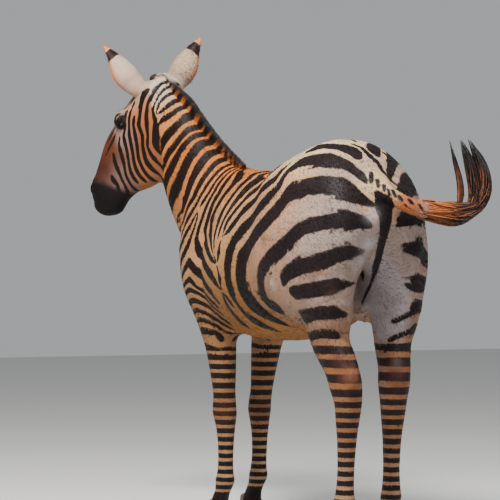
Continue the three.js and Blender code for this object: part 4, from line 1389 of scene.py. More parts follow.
def split_faces(points, quads, triangles, chosen):
    """Splits the chosen quads in four, and the quads next to them into triangles that meet their corners."""
    keys = edge_keys(quads, len(points))
    if len(triangles):
        chosen = chosen & ~np.isin(keys, edge_keys(triangles, len(points))).any(1)
    cut_keys = np.unique(keys[chosen])
    middles = (points[cut_keys // len(points)] + points[cut_keys % len(points)]) / 2
    place = np.searchsorted(cut_keys, keys).clip(0, len(cut_keys) - 1)
    cut_here = cut_keys[place] == keys
    touched = cut_here.any(1)
    centres = points[quads[touched]].mean(1)
    first_middle = len(points)
    first_centre = first_middle + len(middles)
    middle = np.where(cut_here, first_middle + place, -1)[touched]
    corner, centre = quads[touched], first_centre + np.arange(touched.sum())
    whole = chosen[touched]
    small = []
    for i in range(4):
        ring = [corner[:, i], middle[:, i], centre, middle[:, (i + 3) % 4]]
        small.append(np.stack(ring, 1)[whole])
    fans = [triangles] if len(triangles) else []
    for i in range(4):
        here, after, half = corner[:, i], corner[:, (i + 1) % 4], middle[:, i]
        halved = ~whole & (half >= 0)
        fans.append(np.stack([here, half, centre], 1)[halved])
        fans.append(np.stack([half, after, centre], 1)[halved])
        fans.append(np.stack([here, after, centre], 1)[~whole & (half < 0)])
    points = np.concatenate([points, middles, centres])
    return points, np.concatenate([quads[~touched], *small]), np.concatenate(fans)


def on_fine_stripes(points):
    """The head, the shoulders, the spine and the tail's root, whose markings are narrow."""
    x, y, z = points.T
    out = np.abs(x)
    shoulder = (y < 190) & (z > 690) & (out > 30) & (y > -480)
    crest = (y < -300) & (z > 1330)
    root = (y > 600) & (z > 960) & (out < 110)
    spine = (out < 30) & (z > 1200)
    local = to_local(points)
    head = (head_mask(local) > -45) & (local[:, 0] > -45)
    return shoulder | crest | root | spine | head


def near_place(points, place, reach):
    """Near a place of the left half of the head or its mirror."""
    return np.linalg.norm(folded(to_local(points)) - place, axis=1) < reach


def on_lids(points):
    return near_place(points, EYE_CENTRE, 33)


def on_features(points):
    """Around the eyes and the nostrils."""
    return near_place(points, EYE_CENTRE, 48) | near_place(points, NOSTRIL[0], 38)


def on_face(points):
    """The forehead, whose stripes are the narrowest, and the features."""
    h, d, l = to_local(points).T
    forehead = (h > -20) & (h < 330) & (d > -45) & (np.abs(l) < 72)
    return forehead | on_features(points)


def edges_of(triangles):
    pairs = np.concatenate([triangles[:, [0, 1]], triangles[:, [1, 2]], triangles[:, [2, 0]]])
    return np.unique(np.sort(pairs, axis=1), axis=0)


def skin_points():
    """The skin's net, split where it needs finer faces and settled on the finer forms."""
    points, quads = surface_net(body_distance, *shapes_box(), SKIN_STEP)
    triangles = np.zeros((0, 3), int)
    for test in (on_fine_stripes, on_face, on_lids):
        points, quads, triangles = split_faces(points, quads, triangles, test(points[quads].mean(1)))
    triangles = np.concatenate([halved(quads), triangles])
    edges = edges_of(triangles)
    points = relax(points, edges, 2, 0.5)
    points = settle(skin_distance, points, 2)
    points = relax(points, edges, 1, 0.3)
    points = settle(skin_distance, points, 1, 3.0)
    return points, triangles


# Each ear: base in the head frame, the ways that its tip and its back point.
# Both ears' values are rounded results of a fit to their outline in the photograph.
EARS = {
    "left": ([21, -43, 70], [0.567, -0.455, 0.686], [-0.43, 0.9, 0.03]),
    "right": ([18, -44, -75], [-0.54, 0.15, 0.83], [0.74, 0.67, 0.05]),
}
EAR_LENGTH = 213.0
EAR_THICKNESS = 5.0
# Along an ear: share of its length, the tube's radius, half of its opening's angle.
EAR_PROFILE = np.array(
    [
        [0, 34, 130], [0.15, 42, 112], [0.3, 49, 100], [0.45, 50, 90], [0.6, 43, 80],
        [0.7, 33, 72], [0.8, 25, 66], [0.9, 15, 60], [0.96, 8.5, 55], [1, 4, 50],
    ]
)


EAR_BEND = 10.0  # how far an ear bows backwards half way up
EAR_ROWS = 44
EAR_COLUMNS = 33
EAR_START, EAR_END = -0.16, 0.99  # shares of the length: an ear starts inside the head


def ear_axes(side):
    """An ear's root, the ways along it and to its back, and the way across."""
    base, tip, behind = EARS[side]
    axis = unit(tip)
    back = unit(behind - (behind @ axis) * axis)
    return to_world(base), axis, back, np.cross(axis, back)


def ear_profile(t):
    """Radius, half angle of the opening and bend at shares of an ear's length."""
    radius, opening = (np.interp(t, EAR_PROFILE[:, 0], EAR_PROFILE[:, column]) for column in (1, 2))
    return radius, opening, EAR_BEND * np.sin(np.pi * np.clip(t, 0, 1))


def evened(values):
    """A running mean of five."""
    return np.convolve(np.pad(values, 2, mode="edge"), np.ones(5) / 5, "valid")


def ear_sheet(side, offset):
    """One face of an ear's cupped sheet, at an offset from its middle surface."""
    root, axis, back, right = ear_axes(side)
    t = np.linspace(EAR_START, EAR_END, EAR_ROWS)
    radius, opening, bend = ear_profile(t)
    radius = evened(radius * np.clip(1 + 3 * t, 0.4, 1))
    opening = evened(np.radians(opening + np.clip(-300 * t, 0, 44)))
    middle = root + EAR_LENGTH * t[:, None] * axis + (bend - radius)[:, None] * back
    share = np.linspace(-1, 1, EAR_COLUMNS)
    angle = opening[:, None] * share
    edge = offset * np.sqrt(np.clip(1 - np.abs(share) ** 6, 0.02, 1))
    out = np.sin(angle)[..., None] * right + np.cos(angle)[..., None] * back
    return middle[:, None] + out * (radius[:, None] + edge)[..., None]


def ear_sheets(side):
    return ear_sheet(side, EAR_THICKNESS / 2), ear_sheet(side, -EAR_THICKNESS / 2)


def ear_mesh(side):
    """A cupped sheet with a rounded rim, closed all round."""
    outer, inner = ear_sheets(side)
    ring = np.concatenate([outer, inner[:, ::-1]], axis=1)
    round_it = 2 * EAR_COLUMNS
    c = np.arange(EAR_COLUMNS - 1)
    end = np.stack([c, c + 1, round_it - 2 - c, round_it - 1 - c], 1)
    quads = [grid_faces(EAR_ROWS, round_it), end[:, ::-1], end + (EAR_ROWS - 1) * round_it]
    return ring.reshape(-1, 3), halved(np.concatenate(quads))


BOTH_SIDES = ("left", "right")
LEG_PARTS = ("forearm", "fore_cannon", "fore_pastern", "gaskin", "hind_cannon", "hind_pastern")
FLESH = ["trunk", "neck", "head", "muzzle", "tail_dock", "ear_left", "ear_right"]
FLESH += [f"{part}_{side}" for part in LEG_PARTS for side in BOTH_SIDES]

EAR_PALE = {"left": toned(srgb(234, 206, 184)), "right": toned(srgb(224, 192, 168))}
EAR_RIM = srgb(176, 96, 52)
EAR_ROOT_GREY = srgb(120, 102, 98)
EAR_INSIDE = srgb(104, 84, 74)
EAR_TIP = srgb(190, 104, 50)
EAR_DARK = srgb(30, 12, 12)
EAR_REACH = 75.0  # nothing of an ear is further than this from its axis
EAR_BAND = (0.8, 0.09)  # the dark band: the middle and half of its length, as shares of the ear's


def ear_markings(points, values):
    """Pale ears with a dark patch below an orange tip."""
    for side in EARS:
        root, axis, back, right = ear_axes(side)
        q = points - root
        t = q @ axis / EAR_LENGTH
        around = np.linalg.norm(q - (q @ axis)[:, None] * axis, axis=1)
        ear = smoothstep(0.1, 0.25, t) * (around < EAR_REACH)
        radius, opening, bend = ear_profile(t)
        centre = root + (t * EAR_LENGTH)[:, None] * axis + (bend - radius)[:, None] * back
        inside = smoothstep(0, -2, np.linalg.norm(points - centre, axis=1) - radius) * ear
        angle = np.degrees(np.arctan2(q @ right, q @ back + radius - bend))
        rim = smoothstep(0.6, 0.95, np.abs(angle) / opening)
        layers = [
            (EAR_PALE[side], ear),
            (EAR_RIM, ear * rim * 0.8),
            (EAR_ROOT_GREY, ear * smoothstep(0.42, 0.15, t) * 0.7),
            (EAR_INSIDE, inside),
            (EAR_TIP, ear * smoothstep(0.88, 0.93, t)),
        ]
        for colour, share in layers:
            values["light"] = mixed(values["light"], colour, share)
        values["dark"] = mixed(values["dark"], EAR_DARK, ear)
        middle, half = EAR_BAND
        values["wave"] = part_way(values["wave"], 0.5 + (np.abs(t - middle) - half) * 6, ear)
        values["share"] = part_way(values["share"], 0.5, ear)
    return values


def skin_object():
    """The skin and its ears as one piece, then what its coat needs."""
    points, triangles = skin_points()
    for side in EARS:
        ear, faces = ear_mesh(side)
        triangles = np.concatenate([triangles, faces + len(points)])
        points = np.concatenate([points, ear])
    values = ear_markings(points, markings(points))
    skin = mesh_object("skin", points, triangles, COAT)
    give_values(skin, values)
    declare(skin, "coat", *FLESH)
    return points, triangles, values


# ---------- eyes and hooves ----------

EYE_GAP = 0.3  # how far the visible eyeball lies inside its solid
EYE_ROWS = 32
EYE_COLUMNS = 48
POLE_TILT = 0.02  # angle of the first ring from the pole


def eye_object(side):
    h, d, l = EYE_CENTRE
    tilt = np.linspace(POLE_TILT, np.pi - POLE_TILT, EYE_ROWS)[:, None]
    turn = np.linspace(0, 2 * np.pi, EYE_COLUMNS, endpoint=False)[None]
    ball = np.stack([np.sin(tilt) * np.cos(turn), np.sin(tilt) * np.sin(turn), np.cos(tilt) + 0 * turn], -1)
    ball = np.concatenate([ball.reshape(-1, 3), [[0, 0, 1], [0, 0, -1]]])
    points = ball * (EYE_RADIUS - EYE_GAP) + to_world([h, d, l if side == "left" else -l])
    eye = mesh_object(f"eyeball_{side}", points, capped(EYE_ROWS, EYE_COLUMNS, True), EYE)
    declare(eye, "eye", f"eye_{side}")


HOOF_TOP = 52.0  # height of the hoof's top at its middle, from which it slopes down to the heel
HOOF_SLOPE = 0.5
HOOF_GAP = 0.4
HOOF_SIDES = 64
# Rings of a hoof: half width, toe, heel, height (none: along the sloping top).
HOOF_RINGS = [
    (48, 62, 42, 0),
    (51.5, 67, 45.5, 1.5),
    (52, 68, 46, 4),
    (49.5, 62, 45.2, 14),
    (46, 54, 43.5, 30),
    (41, 44, 40, None),
]


def hoof_object(name):
    kind, side = name.split("_")
    rows = FORE if kind == "fore" else HIND
    x, y = line_at(LEG_LINES[name], 0)
    foot = np.array([x, y + rows[-1][2]])
    turn = np.linspace(0, 2 * np.pi, HOOF_SIDES, endpoint=False)
    c, s = np.cos(turn), np.sin(turn)
    rings = []
    for half, toe, heel, height in HOOF_RINGS:
        reach = np.where(s < 0, toe, heel) * s
        slope = HOOF_TOP - HOOF_SLOPE * reach - HOOF_GAP
        z = slope if height is None else np.minimum(height, slope)
        rings.append(np.stack([foot[0] + half * c, foot[1] + reach, z], 1))
    points = np.concatenate([*rings, [[*foot, 0.0], [*foot, HOOF_TOP]]])
    hoof = mesh_object(f"hoof_{name}", points, capped(len(HOOF_RINGS), HOOF_SIDES), HORN)
    declare(hoof, "horn", f"{kind}_hoof_{side}")


# ---------- tufts ----------


DROOP = 0.35  # how much of its lift a tuft loses on the way to its tip
BLADE_POINTS = 7
BLADE_STEPS = ((0.0, 0.8), (0.45, 1.0))  # along a blade: share of its length, share of its width
BLADE_RIDGE = 0.22  # height of its back as a share of its width
ROOT_DEPTH = 0.8
# Its two rings of three points and its tip as triangles.
BLADE_FACES = [
    [0, 1, 4], [0, 4, 3], [1, 2, 5], [1, 5, 4], [2, 0, 3], [2, 3, 5], [3, 4, 6], [4, 5, 6], [5, 3, 6],
]
# Where its points lie on its patch of the unwrap: across, along.
BLADE_SPREAD = ([-0.5, 0.5, 0.0, -0.4, 0.4, 0.0, 0.0], [-0.5, -0.5, -0.4, 0.0, 0.0, 0.1, 0.5])
PATCH = 0.003


def blades(roots, normals, ways, lengths, widths, lifts):
    """Thin three-sided tufts: each leaves its root along a way, then bends back to the skin."""
    normals, ways = unit(normals), unit(ways)
    across = unit(np.cross(ways, normals))
    rows = []
    for t, width in BLADE_STEPS:
        height = lifts * lengths * (t - DROOP * t * t) - ROOT_DEPTH * (t == 0)
        middle = roots + ways * (lengths * t)[:, None] + normals * height[:, None]
        half = (widths * width / 2)[:, None]
        ridge = (widths * width * BLADE_RIDGE)[:, None]
        rows += [middle - across * half, middle + across * half, middle + normals * ridge]
    rows.append(roots + ways * lengths[:, None] + normals * (lifts * lengths * (1 - DROOP))[:, None])
    first = np.arange(len(roots))[:, None, None] * BLADE_POINTS
    return np.stack(rows, 1).reshape(-1, 3), (first + BLADE_FACES).reshape(-1, 3)


def patch_uv(obj, places, spread):
    """OFBake: each tuft is a small patch at its root's place on the unwrap."""
    across, along = np.asarray(spread)
    uv = np.repeat(places, len(across), axis=0)
    uv[:, 0] += np.tile(across, len(places)) * PATCH
    uv[:, 1] += np.tile(along, len(places)) * PATCH
    layer = obj.data.uv_layers.new(name="OFBake")
    corner = np.empty(len(obj.data.loops), np.int32)
    obj.data.loops.foreach_get("vertex_index", corner)
    layer.data.foreach_set("uv", uv[corner].astype(np.float32).ravel())


def spread_value(value):
    """A tuft's value for each of its points, from one value or from its root, middle and tip."""
    if value.ndim == 3:
        return np.repeat(value, (3, 3, 1), axis=1).reshape(-1, 3)
    return np.repeat(value, BLADE_POINTS, axis=0)


def tuft_object(name, shape, values, places, piece_material, slot_name):
    """One piece of tufts; shape holds roots, normals, ways, lengths, widths and lifts."""
    obj = mesh_object(name, *blades(*shape), piece_material)
    give_values(obj, {key: spread_value(value) for key, value in values.items()})
    patch_uv(obj, places, BLADE_SPREAD)
    declare(obj, slot_name)


# ---------- the coat's tufts ----------

COAT_PIECES = 4
TUFTS_EACH = 21000
HEAD_DENSITY = 2.2  # tufts on the head for each one on the same area of the body
COAT_SCATTER = 0.14
# The way that the hair lies on the body, the neck and the legs.
BODY_WAY = np.array([0.0, 0.85, -0.45])
NECK_WAY = np.array([-0.35, 0.55, -0.75])
LEG_WAY = np.array([0.0, 0.1, -1.0])
HEAD_WAY = -HEAD_AXES[0] * 0.9 - HEAD_AXES[1] * 0.35


def lie_of_coat(points):
    """The way that the hair lies, and where the head's coat is: from nose to neck, back and down."""
    y, z = points[:, 1], points[:, 2]
    head = smoothstep(-15, 15, head_mask(to_local(points)))
    way = np.tile(BODY_WAY, (len(points), 1))
    way = mixed(way, NECK_WAY, smoothstep(-250, -380, y) * smoothstep(1000, 1150, z))
    way = mixed(way, LEG_WAY, smoothstep(820, 640, z))
    return mixed(way, HEAD_WAY, head), head


NECK_X, NECK_Y, NECK_HEIGHTS = np.transpose([row[:3] for row in NECK])


TILE_COLUMNS, TILE_ROWS = 4, 3
TILE_EDGE = 0.04  # margin of a tile, as a share of it


def unwrap(points):
    """Places on an unwrap of the skin: each part is opened round its own middle line, on its own tile."""
    x, y, z = points.T
    h, d, l = to_local(points).T
    tile = np.zeros(len(points), int)
    along = (y + 480) / 1300
    turn = np.arctan2(z - 1020, x)
    neck_x, neck_y = np.interp(z, NECK_HEIGHTS, NECK_X), np.interp(z, NECK_HEIGHTS, NECK_Y)
    parts = [
        ((y < -350) & (z > 1130), (z - 1100) / 520, np.arctan2(x - neck_x, y - neck_y)),
        (head_mask(to_local(points)) > 0, (h + 60) / 640, np.arctan2(l, d - HEAD_MIDDLE)),
        ((y > 765) & (z > 1000), (y - 760) / 140, np.arctan2(z - 1140, x + 30)),
    ]
    for name in LEG_LINES:
        leg_x, leg_y = line_at(LEG_LINES[name], z)
        side = (x > 0) == name.endswith("left")
        fore = (y < FORE_END) == name.startswith("fore")
        parts.append(((z < 700) & side & fore, z / 720, np.arctan2(x - leg_x, y - leg_y)))
    for number, (chosen, place, angle) in enumerate(parts, 1):
        tile = np.where(chosen, number, tile)
        along = np.where(chosen, place, along)
        turn = np.where(chosen, angle, turn)
    inside = 1 - 2 * TILE_EDGE
    u = (tile % TILE_COLUMNS + TILE_EDGE + inside * (turn / (2 * np.pi) + 0.5)) / TILE_COLUMNS
    v = (tile // TILE_COLUMNS + TILE_EDGE + inside * np.clip(along, 0, 1)) / TILE_ROWS
    return np.stack([u, v], 1)


def coat_tufts(points, triangles, values):
    """Short tufts over the whole skin, in a few pieces, lying along the coat."""
    corner = points[triangles]
    middle = corner.mean(1)
    crossed = np.cross(corner[:, 1] - corner[:, 0], corner[:, 2] - corner[:, 0])
    size = np.linalg.norm(crossed, axis=1)
    weight = size * np.where(head_mask(to_local(middle)) > 0, HEAD_DENSITY, 1.0)
    weight[on_features(middle)] = 0
    total = COAT_PIECES * TUFTS_EACH
    chosen = RNG.choice(len(triangles), total, p=weight / weight.sum())
    chosen = chosen[np.argsort(corner[chosen, 0, 1])]
    shares = RNG.dirichlet((1, 1, 1), total)
    roots = np.einsum("ij,ijk->ik", shares, corner[chosen])
    normals = crossed[chosen] / size[chosen, None]
    ways, head = lie_of_coat(roots)
    ways = ways + RNG.normal(0, COAT_SCATTER, (total, 3))
    ways = unit(ways - (ways * normals).sum(1)[:, None] * normals)
    leg = smoothstep(760, 560, roots[:, 2])
    belly = smoothstep(820, 720, roots[:, 2]) * (1 - leg)
    lengths = (12 - 5 * leg - 7 * head + 4 * belly) * RNG.uniform(0.75, 1.2, total)
    widths = (1.9 - 0.5 * leg - 0.9 * head) * RNG.uniform(0.8, 1.2, total)
    shape = (roots, normals, ways, lengths, widths, 0.1 - 0.05 * head)
    corners = triangles[chosen]
    at_root = {key: np.einsum("ij,ij...->i...", shares, value[corners]) for key, value in values.items()}
    shade = RNG.uniform(0.82, 1.16, (total, 1))
    for key in ("light", "dark"):
        at_root[key] = at_root[key] * shade
    places = unwrap(roots)
    for piece in range(COAT_PIECES):
        part = slice(piece * TUFTS_EACH, (piece + 1) * TUFTS_EACH)
        part_values = {key: value[part] for key, value in at_root.items()}
        name = f"coat_tufts_{piece + 1}"
        tuft_object(name, [column[part] for column in shape], part_values, places[part], TUFTS, "coat")


FRINGE_HAIRS = 700
FRINGE_START = 9  # the row of the ear's sheet where its rim comes out of the head


def ear_fringe():
    """Fine hair along the rims of the ears."""
    count = FRINGE_HAIRS
    for side in EARS:
        outer, inner = ear_sheets(side)
        _, axis, back, _ = ear_axes(side)
        row = RNG.integers(FRINGE_START, EAR_ROWS - 2, count)
        edge = RNG.choice([0, EAR_COLUMNS - 1], count)
        roots = (outer[row, edge] + inner[row, edge]) / 2
        normals = unit(roots - (outer[row, 0] + outer[row, -1]) / 2)
        ways = axis * 0.9 - back * 0.25 - normals * RNG.uniform(0.0, 0.5, (count, 1))
        ways = ways + RNG.normal(0, 0.12, (count, 3))
        lengths, widths = RNG.uniform(5, 10, count), RNG.uniform(0.8, 1.3, count)
        shape = (roots, normals, ways, lengths, widths, np.full(count, 0.05))
        values = ear_markings(roots, markings(roots))
        tuft_object(f"ear_fringe_{side}", shape, values, unwrap(roots), TUFTS, "coat")


LASHES_EACH = 30
LASH_LENGTH = 13.0
LASH_WIDTH = 1.1
LASH_COLOUR = srgb(12, 8, 8)


def lashes():
    """Lashes on the upper lids."""
    step = np.linspace(-0.95, 0.95, LASHES_EACH)
    lid = np.stack([17 * step, 9.5 - 5 * step * step - 3 * step, 17 - 6 * step * step], 1)
    ahead, up, left = HEAD_AXES
    roots, ways = [], []
    for side in (1, -1):
        roots.append(to_world((EYE_CENTRE + lid) * [1, 1, side]))
        ways.append(ahead * 0.5 * step[:, None] + left * side + up * 0.1)
    roots, ways = np.concatenate(roots), np.concatenate(ways)
    count = len(roots)
    sizes = [np.full(count, size) for size in (LASH_LENGTH, LASH_WIDTH, 0.1)]
    shape = (roots, np.tile(up, (count, 1)), ways, *sizes)
    values = {"light": np.tile(LASH_COLOUR, (count, 1))}
    tuft_object("lashes", shape, values, unwrap(roots), HAIR, "dark_hair")


# ---------- mane ----------

# The mane's line on the neck: x, y, z, then the way that it stands.
MANE_LINE = [
    [50, -350, 1125, -0.06, 0.7, 0.71],
    [78, -425, 1205, -0.09, 0.73, 0.67],
    [120, -515, 1320, -0.11, 0.77, 0.63],
    [156, -590, 1420, -0.12, 0.79, 0.61],
    [180, -640, 1490, -0.12, 0.74, 0.66],
    [188, -655, 1510, -0.06, 0.5, 0.86],
    [191, -662, 1515, 0.02, 0.2, 0.98],
    [192, -665, 1518, 0.1, -0.06, 0.99],
]
# Its height at shares of that line, from the withers to the poll.
MANE_HEIGHTS = [
    (0, 16), (0.05, 30), (0.1, 38), (0.45, 40), (0.52, 34), (0.57, 24), (0.62, 13), (0.68, 8),
    (0.76, 10), (0.84, 17), (0.95, 17), (1, 12),
]


def crest_line(steps=24):
    """Places along the crest: root on the skin, way up, way along, across, and height of the mane."""
    line = smooth_rows(MANE_LINE, steps)
    ups = unit(line[:, 3:])
    low, high = np.zeros(len(line)), np.full(len(line), 300.0)
    for _ in range(18):
        middle = (low + high) / 2
        inside = body_distance(line[:, :3] + ups * middle[:, None]) < 0
        low, high = np.where(inside, middle, low), np.where(inside, high, middle)
    roots = line[:, :3] + ups * low[:, None]
    along = unit(np.gradient(roots, axis=0))
    across = unit(np.cross(along, ups))
    t = np.linspace(0, 1, len(line))
    height = np.interp(t, *np.transpose(MANE_HEIGHTS))
    return roots, ups, along, across, height, t


# The mane core's outline: across, then up, as a share of the mane's height where it is over nought and
# under one, and otherwise in millimetres.
CORE_OUTLINE = np.array([
    [-10, -10], [10, -10], [10, 2], [7, 0.55], [2.5, 0.86], [-2.5, 0.86], [-7, 0.55], [-10, 2],
])


def mane_objects():
    roots, ups, along, across, height, t = crest_line()
    rings = []
    for u, v in CORE_OUTLINE:
        up = v * height if abs(v) < 1 else np.full(len(height), v)
        rings.append(roots + across * u + ups * up[:, None])
    points = np.concatenate([np.stack(rings, 1).reshape(-1, 3), [roots[0], roots[-1]]])
    core = mesh_object("mane_core", points, capped(len(roots), len(CORE_OUTLINE)), HAIR)
    rise = np.where(CORE_OUTLINE[:, 1] < 1, CORE_OUTLINE[:, 1].clip(0), 0)
    rise = np.append(np.tile(rise, len(roots)), [0, 0])
    place = np.append(np.repeat(t, len(CORE_OUTLINE)), [0, 1])
    give_values(core, {"light": mane_colours(points, rise, place)})
    declare(core, "dark_hair", "mane")
    mane_tufts(roots, ups, along, across, height, t)


MANE_ORANGE = srgb(160, 84, 32)
MANE_PALE = srgb(190, 168, 142)
MANE_DARK = srgb(18, 10, 10)
MANE_TIPS = srgb(15, 9, 9)
MANE_EDGE = srgb(196, 184, 174)


def mane_colours(points, rise, t):
    """The mane carries the neck's stripes, dark at the tips, with a white edge near the ears."""
    wave, share = stripe_field(side_place(points), BODY_GUIDES)
    colour = mixed(np.tile(MANE_ORANGE, (len(points), 1)), MANE_PALE, smoothstep(0.5, 0.75, t))
    colour = mixed(colour, MANE_DARK, smoothstep(-0.1, 0.1, share - wave))
    low_tips = smoothstep(0.4, 0.62, rise) * smoothstep(0.62, 0.5, t)
    high_tips = smoothstep(0.2, 0.4, rise) * smoothstep(0.5, 0.62, t)
    tips = low_tips + high_tips + smoothstep(0.82, 0.9, t)
    colour = mixed(colour, MANE_TIPS, np.clip(tips, 0, 1) * 0.95)
    edge = smoothstep(0.56, 0.66, t) * smoothstep(0.86, 0.8, t) * smoothstep(0.78, 0.92, rise)
    return mixed(colour, MANE_EDGE, edge * 0.9)


MANE_TUFTS = 7000
MANE_HALF = 12.0  # half width of the mane at its foot
MANE_LEAN = 0.12


def mane_tufts(roots, ups, along, across, height, t):
    count = MANE_TUFTS
    pick = RNG.uniform(0, len(roots) - 1.001, count)
    low = pick.astype(int)
    share = (pick - low)[:, None]

    def at(values):
        return part_way(values[low], values[low + 1], share)

    side = RNG.uniform(-1, 1, count)
    start = RNG.uniform(0, 0.55, count)
    tall = at(height[:, None])[:, 0]
    half = MANE_HALF * (1 - start) + 2
    root = at(roots) + at(across) * (side * half)[:, None] + at(ups) * (start * tall)[:, None]
    lean = RNG.normal(0, MANE_LEAN, (count, 1))
    way = at(ups) + at(along) * (lean - 0.05) - at(across) * (side * 0.18)[:, None]
    way = way + RNG.normal(0, 0.05, (count, 3))
    length = (1 - start) * tall * RNG.uniform(0.82, 1.03, count)
    normal = at(across) * np.sign(side)[:, None] + 0.2 * at(along)
    place = at(t[:, None])[:, 0]
    shade = RNG.uniform(0.8, 1.15, (count, 1))
    steps = [(0.0, start), (0.45, start + 0.45 * (1 - start)), (1.0, np.ones(count))]
    colours = []
    for step, rise in steps:
        colours.append(mane_colours(root + way * (length * step)[:, None], rise, place) * shade)
    places = np.stack([0.02 + 0.96 * pick / len(roots), 0.1 + 0.8 * (side + 1) / 2], 1)
    shape = (root, normal, way, length, RNG.uniform(2.2, 4.2, count), np.full(count, 0.04))
    tuft_object("mane_tufts", shape, {"light": np.stack(colours, 1)}, places, HAIR, "dark_hair")


# ---------- tail ----------

# Rows of the tail's hair, then of its three locks: x, y, z, radius.
TAIL_HAIR = [[-85, 880, 1108, 33], [-150, 890, 1094, 40], [-215, 900, 1088, 43]]
LOCKS = [
    [[-225, 896, 1098, 8], [-238, 893, 1150, 11], [-234, 890, 1205, 10], [-222, 882, 1262, 8],
     [-207, 872, 1335, 2]],
    [[-262, 902, 1092, 22], [-285, 905, 1140, 25], [-280, 902, 1205, 24], [-262, 895, 1275, 17],
     [-240, 886, 1332, 3]],
    [[-290, 908, 1112, 22], [-316, 914, 1165, 24], [-312, 912, 1225, 22], [-292, 905, 1280, 16],
     [-264, 896, 1335, 3]],
]
LOCK_SHARES = (0.16, 0.44, 0.4)
TAIL_STRANDS = 1300
STRAND_STEPS = 10
LOCK_FLATNESS = 0.75
HAIR_UNDER = 1092.0  # below this is the darker underside of the tail's hair
RUST_SHARE = 0.3
TAIL_DARK = srgb(16, 10, 9)
TAIL_RUST = srgb(164, 90, 46)


def strand_rows(lock, count):
    """Curved strands that start in the tail's hair and follow one of its locks."""
    line = smooth_rows(TAIL_HAIR + lock, 4)
    tangent = unit(np.gradient(line[:, :3], axis=0))
    side = unit(np.cross(tangent, [0.1, 1, 0]))
    up = np.cross(tangent, side)
    turn = RNG.uniform(0, 2 * np.pi, count)
    out = np.sqrt(RNG.uniform(0, 1, count)) * 0.93
    start = RNG.uniform(0, 0.45, count)
    end = np.minimum(start + RNG.uniform(0.45, 0.8, count), RNG.uniform(0.82, 1.0, count))
    at = start[:, None] + (end - start)[:, None] * np.linspace(0, 1, STRAND_STEPS)
    index = at * (len(line) - 1)
    low = np.minimum(index.astype(int), len(line) - 2)
    share = (index - low)[..., None]

    def along(values):
        return part_way(values[low], values[low + 1], share)

    sway = turn[:, None] + 0.5 * np.sin(at * 9 + turn[:, None] * 3) * RNG.uniform(0.2, 1, (count, 1))
    radius = along(line[:, 3:4])[..., 0] * out[:, None]
    ring = along(side) * (radius * np.cos(sway))[..., None]
    ring = ring + along(up) * (radius * LOCK_FLATNESS * np.sin(sway))[..., None]
    return along(line[:, :3]) + ring, at


def strands(paths, widths):
    """Three-sided tapering strands along paths (strand, step, xyz)."""
    count, steps = paths.shape[:2]
    tangent = unit(np.gradient(paths, axis=1))
    side = unit(np.cross(tangent, RNG.normal(0, 1, (count, 1, 3))))
    up = np.cross(tangent, side)
    taper = np.minimum(1, 3.2 * (1.02 - np.linspace(0, 1, steps))) * widths[:, None]
    corners = []
    for turn in (0, 2 * np.pi / 3, 4 * np.pi / 3):
        corner = paths + side * (taper * np.cos(turn))[..., None]
        corners.append(corner + up * (taper * np.sin(turn))[..., None])
    each = steps * 3
    faces = np.concatenate([halved(grid_faces(steps, 3)), [[2, 1, 0], [each - 3, each - 2, each - 1]]])
    first = np.arange(count)[:, None, None] * each
    return np.stack(corners, 2).reshape(-1, 3), (first + faces).reshape(-1, 3)


def tail_object():
    made = [strand_rows(lock, int(TAIL_STRANDS * share)) for lock, share in zip(LOCKS, LOCK_SHARES)]
    paths, at = (np.concatenate(rows) for rows in zip(*made))
    count = len(paths)
    obj = mesh_object("tail_strands", *strands(paths, RNG.uniform(1.2, 2.7, count)), HAIR)
    rust = RNG.uniform(0, 1, (count, 1)) < RUST_SHARE
    height = paths[..., 2]
    early = smoothstep(0.32, 0.16, at) * np.where(height < HAIR_UNDER, 0.35, 1)
    tone = np.clip(early + rust * smoothstep(0.9, 0.55, at) * 0.55, 0, 1)
    colour = mixed(np.tile(TAIL_DARK, (tone.size, 1)), TAIL_RUST, tone.ravel())
    colour = colour.reshape(*tone.shape, 3) * RNG.uniform(0.7, 1.2, (count, 1, 1))
    give_values(obj, {"light": np.repeat(colour, 3, axis=1).reshape(-1, 3)})
    number = np.arange(count)
    places = np.stack([0.02 + 0.024 * (number % 40), 0.02 + 0.028 * (number // 40)], 1)
    across = np.tile([-0.5, 0.5, 0.0], STRAND_STEPS)
    along = np.repeat(np.linspace(-1.5, 6.5, STRAND_STEPS), 3)
    patch_uv(obj, places, (across, along))
    declare(obj, "dark_hair", "tail_hair")


# ---------- floor, light and camera ----------


FLOOR_HALF = 14.0
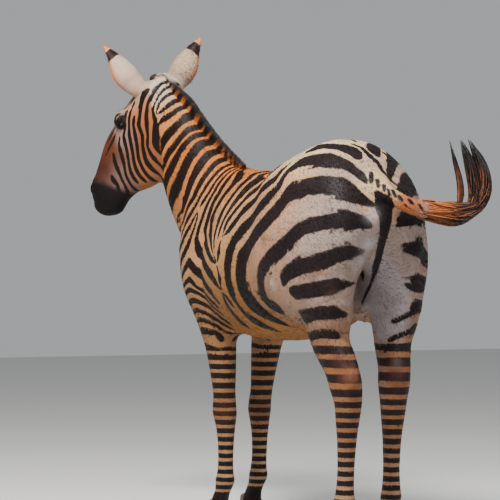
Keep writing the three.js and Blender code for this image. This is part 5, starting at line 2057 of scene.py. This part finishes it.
# Lights: name, place and size in metres, power, colour.
LIGHTS = [
    ("key", (2.6, 1.6, 4.6), 1.5, 620, (1.0, 0.97, 0.92)),
    ("fill", (3.5, 5.5, 2.2), 3.0, 70, (1, 1, 1)),
    ("rim", (-3.0, 2.5, 3.2), 2.0, 120, (1, 1, 1)),
]
LIGHT_TARGET = Vector((0, 0, 0.9))
SKY = (0.95, 0.98, 1.0, 1)
SKY_STRENGTH = 0.42


def aimed(obj, place, way):
    """Puts a light or a camera in its place, looking along a way."""
    obj.location = place
    obj.rotation_euler = Vector(way).to_track_quat("-Z", "Y").to_euler()


def floor():
    mesh = bpy.data.meshes.new("floor")
    corners = [(x * FLOOR_HALF, y * FLOOR_HALF, 0) for x, y in ((-1, -1), (1, -1), (1, 1), (-1, 1))]
    mesh.from_pydata(corners, [], [(0, 1, 2, 3)])
    mesh.materials.append(Nodes("floor").finish(Base_Color=rgba(205, 205, 203), Roughness=0.9))
    add_object("floor", mesh)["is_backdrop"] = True


def lights():
    world = bpy.data.worlds.new("studio")
    world.use_nodes = True
    sky = world.node_tree.nodes["Background"]
    sky.inputs[0].default_value = SKY
    sky.inputs[1].default_value = SKY_STRENGTH
    bpy.context.scene.world = world
    for name, place, size, power, colour in LIGHTS:
        light = bpy.data.lights.new(name, "AREA")
        light.energy, light.size, light.color = power, size, colour
        aimed(add_object(name, light), place, LIGHT_TARGET - Vector(place))


def camera():
    data = bpy.data.cameras.new("camera")
    data.sensor_width = SENSOR
    data.lens = FOCAL_PIXELS / PHOTO_SIZE * SENSOR
    data.clip_end = 100
    obj = add_object("camera", data)
    aimed(obj, metres(CAMERA_PLACE), CAMERA_AHEAD)
    bpy.context.scene.camera = obj


skin_places, skin_triangles, skin_values = skin_object()
coat_tufts(skin_places, skin_triangles, skin_values)
ear_fringe()
lashes()
for side in BOTH_SIDES:
    eye_object(side)
for leg in LEG_LINES:
    hoof_object(leg)
mane_objects()
tail_object()
floor()
lights()
camera()


def plain(bounds):
    return [[float(value) for value in corner] for corner in bounds]


{"cad": plain(cad_bounds), "visual": plain(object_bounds())}
